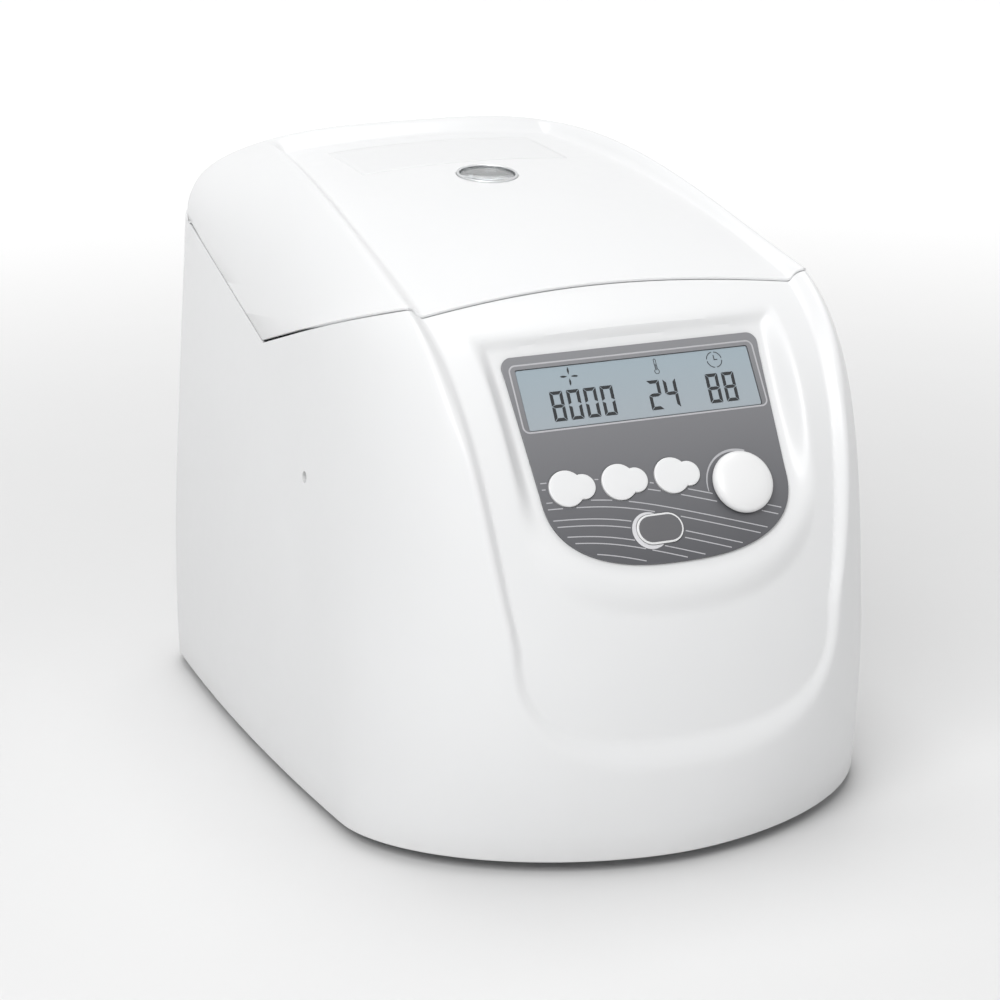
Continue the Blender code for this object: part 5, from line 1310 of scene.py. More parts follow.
@dataclass
class Housing:
    """The moulded housing with its openings."""

    wall: float = 0.0024
    rim_wall: float = 0.0014
    levels: int = 150
    inlet_x: float = -0.048
    switch_x: float = 0.030
    fitting_z: float = 0.046
    vent_x: float = 0.050
    vent_half: float = 0.026
    vent_z: float = 0.100
    vent_pitch: float = 0.008
    vent_height: float = 0.0032
    vent_count: int = 7
    hole_radius: float = 0.0028
    hole_y: float = -0.0318
    hole_z: float = 0.156
    inlet_half: Point = (0.0243, 0.0203)
    switch_half: Point = (0.0108, 0.0153)
    cut_in: float = 0.012
    cut_out: float = 0.006
    opening: tuple[Point, ...] = ((-0.0585, 0.0), (-0.0585, -0.066), (-0.026, -0.0915),
                                  (0.026, -0.0915), (0.0585, -0.066), (0.0585, 0.0))

    def build(self) -> None:
        """Build the housing and put it on its body."""
        shares = both_ways(spread(((0, 0.5, 24), (0.5, 0.86, 44), (0.86, 0.96, 12), (0.96, 1.0, 8))))
        levels = np.linspace(0, 1, self.levels)
        front = SKIN.front(shares[None, :], levels[:, None])
        back = np.array([SKIN.back_row(level, 26, 12, 24) for level in levels])
        grid = np.concatenate([front, back], axis=1)
        mesh = Shell(grid, True, self.wall, self.rim_wall).mesh()
        mesh = carve(mesh, self.cutters())
        make_piece("housing_moulding", mesh, HOUSING_WHITE, Body.HOUSING, ("housing_shell",))

    def cutters(self) -> list[bpy.types.Mesh]:
        """Cutting meshes of the openings.

        Returns:
            The meshes, clear of each other.
        """
        rear = SKIN.rear_y - SKIN.origin_y
        tools = [moved(slab(self.opening, -self.cut_in, 0.003), SKIN.panel_frame())]
        for x, (half_x, half_z) in ((self.inlet_x, self.inlet_half), (self.switch_x, self.switch_half)):
            tools.append(block((x - half_x, rear - self.cut_in, self.fitting_z - half_z),
                               (x + half_x, rear + self.cut_out, self.fitting_z + half_z)))
        turn = spin(90, "X")
        for side in (-1, 1):
            for row in range(self.vent_count):
                z = self.vent_z + self.vent_pitch * row + self.vent_height / 2
                outline = rounded_box(self.vent_half, self.vent_height / 2, self.vent_height / 2.05, 6)
                place = Matrix.Translation((side * self.vent_x, rear + self.cut_out, z))
                tools.append(moved(slab(outline, 0.0, self.cut_in + self.cut_out), place @ turn))
        drill = slab(circle(self.hole_radius, 32), 0.105, 0.145)
        aim = Matrix.Translation((0, self.hole_y, self.hole_z)) @ spin(-90, "Y")
        tools.append(moved(drill, aim))
        return tools


@dataclass
class Lid:
    """The hinged lid's moulding with its window and bare label."""

    wall: float = 0.0022
    rim_wall: float = 0.0013
    window_y: float = 0.0485
    window_radius: float = 0.0152
    window_ring: float = 0.0014
    window_step: float = 0.0152
    ring_proud: float = 0.0006
    label_x: tuple[float, float] = (-0.056, 0.054)
    label_y: tuple[float, float] = (0.072, 0.122)
    label_proud: float = 0.00016
    label_wall: float = 0.0005
    below: tuple[float, float, float] = (0, 0, -0.5)

    def build(self) -> None:
        """Build the lid's pieces."""
        shares = both_ways(spread(((0, 0.5, 22), (0.5, 0.84, 36), (0.84, 0.96, 12), (0.96, 1.0, 6))))
        rows = spread(((0, 0.06, 12), (0.06, 0.8, 80), (0.8, 0.97, 40), (0.97, 1.0, 10)))
        grid = SKIN.lid(shares[None, :], rows[:, None])
        mesh = Shell(grid, False, self.wall, self.rim_wall, inner_point=self.below).mesh()
        hole = moved(slab(circle(self.window_radius + GAP, 96), -0.012, 0.012), self.window_frame())
        make_piece("lid_moulding", carve(mesh, [hole]), LID_WHITE, Body.LID, ("lid_shell",))
        self.build_window()
        self.build_label()

    def window_frame(self) -> Matrix:
        """Frame of the window, square to the lid's skin."""
        step = self.window_step
        ahead, here, behind = (float(SKIN.lid_rise(np.array(0.0), np.array(self.window_y + shift)))
                               for shift in (-step, 0, step))
        slope = (behind - ahead) / (2 * step)
        spot = (0, self.window_y - SKIN.origin_y, SKIN.rim_z + here + SKIN.seam)
        return Matrix.Translation(spot) @ Matrix.Rotation(math.atan(slope), 4, "X")

    def build_window(self) -> None:
        """Build the window's ring and its clear pane."""
        outer, inner = self.window_radius, self.window_radius - self.window_ring
        low, high = -self.wall - self.ring_proud, self.ring_proud
        ring = softened([(inner, low), (outer, low), (outer, high), (inner, high)], 0.0005)
        make_piece("window_bezel", moved(turned(ring, 96), self.window_frame()), SPUN_STEEL, Body.LID,
                   ("window_ring",))
        edge = inner - GAP
        glass = [(0, -0.003), (edge - 0.0004, -0.003), (edge, -0.0026), (edge, -0.0007),
                 (edge - 0.0005, -0.0003), (edge * 0.6, 0.0001), (0, 0.0003)]
        make_piece("window_pane", moved(turned(glass, 96), self.window_frame()), CLEAR, Body.LID,
                   ("lid_window",), 60)

    def build_label(self) -> None:
        """Build the bare label film that lies in the recess behind the window."""
        x, y = np.meshgrid(np.linspace(*self.label_x, 48), np.linspace(*self.label_y, 24))
        rise = SKIN.lid_rise(x, y) + SKIN.rim_z + SKIN.seam + self.label_proud
        top = np.stack([x, y - SKIN.origin_y, rise], axis=-1)
        shell = Shell(top, False, self.label_wall, self.label_wall, 0.00005, self.below, 1)
        make_piece("lid_label_film", shell.mesh(), LABEL_FILM, Body.LID, (), 60)


class Segment(Enum):
    """Bars of a seven-bar digit."""

    TOP = 0
    UPPER_RIGHT = 1
    LOWER_RIGHT = 2
    BOTTOM = 3
    LOWER_LEFT = 4
    UPPER_LEFT = 5
    MIDDLE = 6


DIGIT_BARS: dict[str, tuple[int, ...]] = {
    "0": (0, 1, 2, 3, 4, 5), "2": (0, 1, 6, 4, 3), "4": (5, 6, 1, 2), "8": (0, 1, 2, 3, 4, 5, 6)}
FAN_BLADE: tuple[Point, ...] = (
    (0.20, 0.0), (0.55, -0.075), (0.82, -0.055), (1.0, 0.03), (0.80, 0.125), (0.58, 0.14), (0.38, 0.085))


@dataclass
class Display:
    """The liquid-crystal display with its digits and symbols."""

    half: float = 0.0573
    top: float = -0.0011
    low: float = -0.0295
    ink: float = 0.00008
    lean: float = 0.035
    digit_width: float = 0.0062
    digit_height: float = 0.0140
    digit_pitch: float = 0.00815
    bar: float = 0.00150
    gap: float = 0.00020
    face_z: float = -0.00035
    ink_z: float = -0.00034
    digit_foot: float = -0.0265
    numbers: tuple[tuple[str, float], ...] = (("8000", -0.0444), ("24", 0.0031), ("88", 0.0325))
    fan_spot: Point = (-0.0325, -0.0062)
    fan_radius: float = 0.0044
    bulb_spot: Point = (0.0103, -0.0085)
    bulb_radius: float = 0.00112
    stem_half: float = 0.00048
    clock_spot: Point = (0.0397, -0.0060)
    clock_radius: float = 0.0037

    def build(self) -> None:
        """Build the display's face, its digits and its symbols."""
        centre = (self.top + self.low) / 2
        outline = rounded_box(self.half, (self.top - self.low) / 2, 0.0008, 4, (0, centre))
        face = pad(outline, -0.0012, self.face_z, 0.00012)
        uv_from_plane(face, self.half, self.low, self.top)
        panel_piece("display_face", face, DISPLAY_FACE, ("display_pane",))
        shapes: list[list[Point]] = []
        for text, start in self.numbers:
            shapes += self.number(text, start, self.digit_foot)
        shapes += self.fan() + self.thermometer() + self.clock()
        inked = joined([slab(shape, self.ink_z, self.ink_z + self.ink) for shape in shapes])
        panel_piece("display_digits", inked, DIGIT_INK, ())

    def number(self, text: str, start: float, base: float) -> list[list[Point]]:
        """Bars of a number.

        Args:
            text: The digits.
            start: Left edge at the foot.
            base: Foot of the digits.

        Returns:
            Outlines of the bars.
        """
        return [self._bar(Segment(index), start + place * self.digit_pitch, base)
                for place, digit in enumerate(text) for index in DIGIT_BARS[digit]]

    def _bar(self, segment: Segment, left: float, base: float) -> list[Point]:
        """Outline of one bar, mitred to its neighbours and leaning as the digits do."""
        width, height, bar, gap = self.digit_width, self.digit_height, self.bar, self.gap
        middle, tip = height / 2, gap * 1.4
        near, far = bar + gap, width - bar - gap
        if segment is Segment.MIDDLE:
            points = [(tip, middle), (near, middle + bar / 2), (far, middle + bar / 2),
                      (width - tip, middle), (far, middle - bar / 2), (near, middle - bar / 2)]
        elif segment in (Segment.TOP, Segment.BOTTOM):
            points = [(gap, height), (near, height - bar), (far, height - bar), (width - gap, height)]
        else:
            points = [(0, height - gap), (0, middle + gap), (bar, middle + bar / 2 + gap),
                      (bar, height - bar - gap)]
        if segment in (Segment.UPPER_RIGHT, Segment.LOWER_RIGHT):
            points = [(width - x, y) for x, y in points]
        if segment in (Segment.BOTTOM, Segment.LOWER_LEFT, Segment.LOWER_RIGHT):
            points = [(x, height - y) for x, y in points]
        return [(left + x + y * self.lean, base + y) for x, y in points]

    def fan(self) -> list[list[Point]]:
        """Outlines of a symbol of four curved blades."""
        blades, radius = [], self.fan_radius
        for turn in range(4):
            angle = math.pi / 2 * turn - 0.09
            cos, sin = math.cos(angle), math.sin(angle)
            blade = [(radius * (x * cos - y * sin), radius * (x * sin + y * cos)) for x, y in FAN_BLADE]
            blades.append(shifted(blade, self.fan_spot))
        return blades

    def thermometer(self) -> list[list[Point]]:
        """Outlines of a thermometer symbol, an outlined stem over a bulb with a thread in it."""
        x, y = self.bulb_spot
        top, width = y + 0.0055, 0.00026
        path = arc(self.stem_half, 0, 180, 8, (x, top)) + [(x - self.stem_half, y + 0.0011)]
        path += arc(self.bulb_radius, 116, 424, 28, self.bulb_spot) + [(x + self.stem_half, top)]
        return [stroke(path, width), stroke([(x, y + 0.0006), (x, y + 0.0035)], width)]

    def clock(self) -> list[list[Point]]:
        """Outlines of a clock symbol, a broken ring with two hands."""
        x, y = self.clock_spot
        quarters = [arc(self.clock_radius, 90 * turn + 8, 90 * turn + 82, 12, (x, y)) for turn in range(4)]
        hands = [[(x, y - 0.0002), (x, y + 0.0022)], [(x - 0.0002, y), (x + 0.0016, y)]]
        return [stroke(line, 0.00036) for line in quarters] + [stroke(line, 0.0004) for line in hands]


def panel_piece(name: str, mesh: bpy.types.Mesh, finish: Surface, nodes: Sequence[str] = (),
                angle: float = 32.0) -> None:
    """Put a mesh that is drawn in the panel's plane on the control panel.

    Args:
        name: Name of the piece.
        mesh: Its mesh.
        finish: Its finish.
        nodes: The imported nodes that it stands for.
        angle: Edges sharper than this many degrees stay sharp.
    """
    make_piece(name, moved(mesh, SKIN.panel_frame()), finish, Body.HOUSING, nodes, angle)


def uv_from_plane(mesh: bpy.types.Mesh, half: float, low: float, high: float) -> None:
    """Add the UV map panel from a mesh's X and Y.

    Args:
        mesh: A mesh that lies in the plane of the panel.
        half: Half the width that U runs over.
        low: Y where V is 0.
        high: Y where V is 1.
    """
    layer = mesh.uv_layers.new(name="panel")
    for loop in mesh.loops:
        co = mesh.vertices[loop.vertex_index].co
        layer.data[loop.index].uv = ((co.x + half) / (2 * half), (co.y - low) / (high - low))


@dataclass
class ControlPanel:
    """The film-faced control panel with its keys, knob and printed lines."""

    film: float = 0.0012
    button_v: float = -0.0577
    button_u: tuple[float, float, float] = (-0.0472, -0.0218, 0.0039)
    button_radius: float = 0.0084
    lobe_radius: float = 0.0058
    lobe_reach: float = 0.0079
    start_spot: Point = (-0.0081, -0.0811)
    start_half: float = 0.0112
    start_radius: float = 0.0069
    disc_spot: Point = (-0.0130, -0.0814)
    disc_radius: float = 0.0085
    knob_spot: Point = (0.0362, -0.0655)
    knob_radius: float = 0.0144
    knob_height: float = 0.0066
    knob_power: float = 2.5
    proud: float = 0.0009
    waves: tuple[float, ...] = (-0.0528, -0.0618, -0.0699, -0.0774, -0.0848)
    line: float = 0.00024
    print_low: float = -0.00002
    cut: float = 0.004
    display_hole: Point = (0.0576, 0.0145)
    display_hole_v: float = -0.0153
    border_half: Point = (0.0602, 0.0158)
    border_v: float = -0.0146
    stem_hole: float = 0.0036
    key_depth: float = 0.0013
    key_rim: float = 0.0009
    stem_radius: float = 0.003
    stem_low: float = -0.0055
    knob_clear: float = 0.0006
    knob_inset: float = 0.0014
    knob_foot: float = 0.0016
    crescent_gap: float = 0.0022
    crescent_width: float = 0.0014
    crescent_taper: float = 0.0010
    wave_reach: float = 0.064
    wave_bend: float = 0.022
    display: Display = field(default_factory=Display)

    def build(self) -> None:
        """Build every piece of the panel."""
        self.build_film()
        self.display.build()
        self.build_keys()
        self.build_knob()
        self.build_lines()

    def build_film(self) -> None:
        """Build the panel's plate with its window and key holes."""
        plate = slab(SKIN.panel_outline(steps=40), -self.film, 0.0)
        holes = [rounded_box(*self.display_hole, 0.0009, 4, (0, self.display_hole_v))]
        key_hole = self.lobed(self.button_radius + GAP, self.lobe_radius + GAP)
        holes += [shifted(key_hole, (u, self.button_v)) for u in self.button_u]
        holes += [self.start_hole(), circle(self.stem_hole, 32, self.knob_spot)]
        plate = carve(plate, [slab(hole, -self.cut, self.cut) for hole in holes])
        uv_from_plane(plate, SKIN.panel_top_half, SKIN.panel_low, SKIN.panel_top)
        panel_piece("panel_film", plate, PANEL_FILM, ("control_panel",), angle=20)

    def start_hole(self) -> list[Point]:
        """Outline of the opening round the start and stop key, in the panel's plane."""
        return shifted(self.stadium(self.start_half + GAP, self.start_radius + GAP), self.start_spot)

    def lobed(self, radius: float, lobe: float, steps: int = 40) -> list[Point]:
        """Outline of a round key with a smaller round lobe on its right, anticlockwise."""
        reach = self.lobe_reach
        cross = (reach * reach + radius * radius - lobe * lobe) / (2 * reach)
        height = math.sqrt(radius * radius - cross * cross)
        big, small = math.atan2(height, cross), math.atan2(height, cross - reach)
        main = [big + (2 * math.pi - 2 * big) * step / steps for step in range(steps + 1)]
        nub = [-small + 2 * small * step / steps for step in range(1, steps)]
        return ([(radius * math.cos(a), radius * math.sin(a)) for a in main]
                + [(reach + lobe * math.cos(a), lobe * math.sin(a)) for a in nub])

    @staticmethod
    def stadium(half: float, radius: float, steps: int = 16) -> list[Point]:
        """Outline of a bar with round ends, anticlockwise."""
        points = []
        for side, start in ((1, -math.pi / 2), (-1, math.pi / 2)):
            points += [(side * (half - radius) + radius * math.cos(start + math.pi * step / steps),
                        radius * math.sin(start + math.pi * step / steps)) for step in range(steps + 1)]
        return points

    def build_keys(self) -> None:
        """Build the three light keys and the dark start and stop key with its light collar."""
        names = (("pulse_key", "pulse_button", Body.PULSE), ("door_key", "door_button", Body.DOOR),
                 ("select_key", "select_button", Body.SELECT))
        under = -self.film - self.key_depth
        for (name, node, body), u in zip(names, self.button_u):
            cap = pad(self.lobed(self.button_radius, self.lobe_radius), under, self.proud, 0.0005, 0.00025)
            cap = moved(cap, SKIN.panel_frame(u, self.button_v))
            make_piece(name, cap, BUTTON_WHITE, body, (node,))
        spot = SKIN.panel_frame(*self.start_spot)
        collar = pad(self.stadium(self.start_half, self.start_radius), under, self.proud - 0.0003, 0.0003)
        make_piece("start_key", moved(collar, spot), BUTTON_WHITE, Body.START,
                   ("start_stop_button",))
        inner = self.stadium(self.start_half - self.key_rim, self.start_radius - self.key_rim)
        centre = pad(inner, self.proud - 0.0004, self.proud, 0.0002, 0.0001)
        make_piece("start_key_face", moved(centre, spot), KEY_DARK, Body.START, ())
        disc = slab(circle(self.disc_radius, 96, self.disc_spot), self.print_low, 0.00005)
        disc = carve(disc, [slab(self.start_hole(), -0.001, 0.001)])
        panel_piece("start_key_disc", disc, PRINT_WHITE, ())

    def build_knob(self) -> None:
        """Build the setting knob, a low pebble with a soft rim that stands just clear of the film."""
        low, radius, power = self.knob_clear, self.knob_radius, 2 / self.knob_power
        top, foot, inset_radius = low + self.knob_height, low + self.knob_foot, radius - self.knob_inset
        profile = [(0, self.stem_low), (self.stem_radius, self.stem_low), (self.stem_radius, low),
                   (inset_radius, low)]
        for angle in np.linspace(0, math.pi / 2, 7)[1:]:
            out, up = self.knob_inset * math.sin(angle), self.knob_foot * (1 - math.cos(angle))
            profile.append((inset_radius + out, low + up))
        rise = top - low - self.knob_foot
        profile += [(radius * math.cos(angle) ** power, foot + rise * math.sin(angle) ** power)
                    for angle in np.linspace(0, math.pi / 2, 26)[1:-1]]
        profile.append((0, top))
        make_piece("setting_knob", moved(turned(profile, 128), SKIN.panel_frame(*self.knob_spot)), KNOB_WHITE,
                   Body.KNOB, ("control_knob",), 50)

    def clipped(self, points: Sequence[Point], margin: float = 0.0012) -> list[list[Point]]:
        """Cut a line into the runs that lie on the bare film.

        Args:
            points: The line.
            margin: Distance kept from the panel's edge.

        Returns:
            The runs.
        """
        runs: list[list[Point]] = [[]]
        for u, v in points:
            edge = SKIN.panel_half(max(v - margin, SKIN.panel_low)) - margin
            inside = v > SKIN.panel_low + margin and abs(u) < edge
            for centre in self.button_u:
                right, up = u - centre, v - self.button_v
                inside &= math.hypot(right, up) > self.button_radius + 0.0009
                inside &= math.hypot(right - self.lobe_reach, up) > self.lobe_radius + 0.0009
            inside &= math.hypot(u - self.disc_spot[0], v - self.disc_spot[1]) > self.disc_radius + 0.0004
            past = max(0.0, abs(u - self.start_spot[0]) - (self.start_half - self.start_radius))
            inside &= math.hypot(past, v - self.start_spot[1]) > self.start_radius + 0.0010
            inside &= math.hypot(u - self.knob_spot[0], v - self.knob_spot[1]) > self.knob_radius + 0.0006
            if inside:
                runs[-1].append((u, v))
            elif runs[-1]:
                runs.append([])
        return [run for run in runs if len(run) > 3]

    def build_lines(self) -> None:
        """Print the display's border, the sweeping pairs of lines and the knob's crescent."""
        border = rounded_box(*self.border_half, 0.0030, 8, (0, self.border_v))
        self.print_lines("display_border", [border + [border[0]]], self.line * 1.5)
        runs = []
        for number, height in enumerate(self.waves):
            for partner in (0.0, 0.0030):
                runs += self.clipped(self.wave(number, height, partner))
        self.print_lines("panel_lines", runs, self.line)
        crescent = slab(self.crescent(68, 186, 60), self.print_low, 0.00006)
        panel_piece("knob_crescent", crescent, LINE_LIGHT, angle=80)

    def wave(self, number: int, height: float, partner: float) -> list[Point]:
        """One sweeping line across the panel.

        Args:
            number: Number of its pair, counted from the top.
            height: Height of the pair.
            partner: Least distance from the pair's upper line.

        Returns:
            Its points.
        """
        bend, fall = -0.021 - 0.0045 * number, 0.345 + 0.012 * number
        line = []
        for u in np.linspace(-self.wave_reach, self.wave_reach, 220):
            drop = fall * (math.hypot(u - bend, self.wave_bend) + u - bend) / 2
            line.append((u, height - partner * (1 + 2 * abs(u + 0.06)) - drop))
        return line

    def crescent(self, start: float, end: float, steps: int) -> list[Point]:
        """Outline of the print beside the knob, thick at its start and thin at its end.

        Args:
            start: First angle in degrees.
            end: Last angle in degrees.
            steps: Steps along it.

        Returns:
            Its points.
        """
        outer = arc(self.knob_radius + self.crescent_gap, start, end, steps, self.knob_spot)
        inner = []
        for step, (x, y) in enumerate(outer):
            angle = math.radians(start + (end - start) * step / steps)
            size = self.crescent_width - self.crescent_taper * step / steps
            inner.append((x - size * math.cos(angle), y - size * math.sin(angle)))
        return outer + inner[::-1]

    def print_lines(self, name: str, runs: Sequence[Sequence[Point]], width: float) -> None:
        """Sweep a thin print along lines on the film.

        Args:
            name: Name of the piece.
            runs: The lines.
            width: Half the width of the print.
        """
        vertices: list[tuple[float, float, float]] = []
        edges: list[tuple[int, int]] = []
        for run in runs:
            start = len(vertices)
            vertices += [(u, v, 0.0) for u, v in run]
            edges += [(start + index, start + index + 1) for index in range(len(run) - 1)]
        path = bpy.data.meshes.new("printed_paths")
        path.from_pydata(vertices, edges, [])
        lines = line_tree(LINE_LIGHT).mesh(path, Width=width)
        lines.transform(Matrix.Diagonal((1, 1, 0.2, 1)))
        panel_piece(name, lines, LINE_LIGHT, angle=80)


@dataclass
class Chamber:
    """The rotor chamber's spun bowl and its lip seal."""

    axis_y: float = AXIS_Y
    bowl_radius: float = 0.0985
    sheet: float = 0.0012
    floor: float = 0.108
    flange_z: float = 0.2003
    flange_radius: float = 0.108
    hole: float = 0.022
    corner: float = 0.012
    seal_inner: float = 0.1000
    seal_outer: float = 0.1070
    seal_lip: float = 0.00175
    seal_height: float = 0.0042

    def hub(self, z: float = 0.0) -> Matrix:
        """Place on the rotor's axis."""
        return Matrix.Translation((0, self.axis_y, z))

    def build(self) -> None:
        """Build the bowl and the seal."""
        turn = [(self.bowl_radius - self.corner * (1 - math.cos(math.pi / 2 * step / 10)),
                 self.floor + self.corner * (1 - math.sin(math.pi / 2 * step / 10))) for step in range(11)]
        inside = [(radius, height + self.sheet) for radius, height in turn]
        grow = self.sheet / self.corner
        outside = [(radius + grow * max(0.0, radius - self.bowl_radius + self.corner), height)
                   for radius, height in turn]
        profile = [(self.hole, self.floor), (self.hole, self.floor + self.sheet)] + inside[::-1]
        top = self.flange_z + self.sheet
        profile += [(self.bowl_radius, top - 0.001), (self.bowl_radius + 0.0008, top),
                    (self.flange_radius - GAP, top), (self.flange_radius, top - GAP),
                    (self.flange_radius, self.flange_z), (self.bowl_radius + self.sheet, self.flange_z)]
        profile += outside
        make_piece("spun_bowl", moved(turned(profile, 128), self.hub()), SPUN_STEEL, Body.HOUSING,
                   ("chamber_bowl",), 40)
        low, lip, near, far = top + GAP, self.seal_lip, self.seal_inner, self.seal_outer
        crest = low + self.seal_height
        seal = [(near, low), (far, low), (far, low + 0.0012), (far - lip * 0.4, low + 0.0021),
                (far - lip, crest), (near + lip + 0.0008, crest), (near + lip, low + 0.0034),
                (near + lip * 0.5, low + 0.0022), (near, low + 0.0016)]
        ring = moved(turned(softened(seal, 0.0004, 3), 128), self.hub())
        make_piece("lip_seal", ring, RUBBER, Body.HOUSING, ("chamber_seal",), 50)


@dataclass
class Rotor:
    """The fixed-angle rotor with its numbered tube places, and the nut that clamps it."""

    base: float = 0.125
    radius: float = 0.089
    places: int = 18
    tube_radius: float = 0.0055
    tube_depth: float = 0.031
    circle: float = 0.055
    shaft_radius: float = 0.0048
    cone_radius: float = 0.0355
    cone_z: float = 0.014
    lip_z: float = 0.053
    hub_z: float = 0.030
    number_size: float = 0.0062
    number_away: float = 0.0072
    number_proud: float = 0.00006
    nut_low: float = 0.0303
    nut_height: float = 0.014
    nut_radius: float = 0.0130
    knurls: int = 24
    knurl_depth: float = 0.0004
    chamber: Chamber = field(default_factory=Chamber)

    def build(self) -> None:
        """Build the rotor, its numbers and its nut."""
        hub = self.chamber.hub(self.base)
        profile = [(self.shaft_radius, 0), (self.radius - 0.003, 0), (self.radius, 0.003),
                   (self.radius, 0.030), (0.0790, self.lip_z), (0.0745, self.lip_z),
                   (self.cone_radius, self.cone_z), (0.018, self.cone_z), (0.016, self.hub_z),
                   (self.shaft_radius, self.hub_z)]
        body = turned(softened(profile, 0.0012), 160)
        body = carve(body, [self.bore(number) for number in range(self.places)])
        make_piece("rotor_block", moved(body, hub), ALUMINIUM, Body.ROTOR, ("rotor",), 35)
        self.build_numbers(hub)
        self.build_nut(hub)

    def bore(self, number: int) -> bpy.types.Mesh:
        """Cutting mesh of one slanted tube place, with its countersunk mouth."""
        radius, depth = self.tube_radius, self.tube_depth
        rim = radius + 0.0010
        shape = turned([(0, 0.006), (rim, 0.006), (rim, 0.0003), (radius, -0.0007), (radius, -depth),
                        (0.0025, -depth - 0.007), (0, -depth - 0.0074)], 36)
        mouth = self.cone_z + (self.circle - self.cone_radius)
        turn = Matrix.Rotation(2 * math.pi * number / self.places, 4, "Z")
        slant = spin(-45, "Y")
        return moved(shape, turn @ Matrix.Translation((self.circle, 0, mouth)) @ slant)

    def build_numbers(self, hub: Matrix) -> None:
        """Print plain place numbers outside the mouths of the tube places."""
        meshes = []
        for number in range(self.places):
            curve = bpy.data.curves.new("place_number", "FONT")
            curve.body = str(number + 1)
            curve.size = self.number_size
            curve.extrude = 0.00004
            curve.align_x = "CENTER"
            mesh = baked(link_object("place_number", curve))
            turn = Matrix.Rotation(2 * math.pi * number / self.places, 4, "Z")
            away = self.circle + self.number_away
            slope = spin(-45, "Y") @ spin(-90, "Z")
            height = self.cone_z + away - self.cone_radius + self.number_proud
            spot = Matrix.Translation((away, 0, height))
            meshes.append(moved(mesh, hub @ turn @ spot @ slope))
        make_piece("place_numbers", joined(meshes), DIGIT_INK, Body.ROTOR, ())

    def build_nut(self, hub: Matrix) -> None:
        """Build the knurled clamping nut with a hexagon recess."""
        low, height, steps = self.nut_low, self.nut_height, 192
        points = []
        for distance, level in ((0.0006, 0), (0.0, 0.0006), (0.0, height - 0.0012), (0.0004, height - 0.0004),
                                (0.0012, height)):
            for angle in (2 * math.pi * step / steps for step in range(steps)):
                radius = self.nut_radius - distance - self.knurl_depth * (1 + math.cos(self.knurls * angle))
                points.append((radius * math.cos(angle), radius * math.sin(angle), low + level))
        caps = [tuple(range(steps)), tuple(range(4 * steps, 5 * steps))]
        nut = mesh_of(points, ring_faces(5, steps) + caps)
        hexagon = slab(circle(0.0046, 6), low + height - 0.005, low + height + 0.003)
        bore = slab(circle(0.0045, 48), low - 0.003, 0.0373)
        nut = moved(carve(nut, [hexagon, bore]), hub)
        make_piece("clamping_nut", nut, BLACK_PLASTIC, Body.ROTOR, ("rotor_nut",), 40)


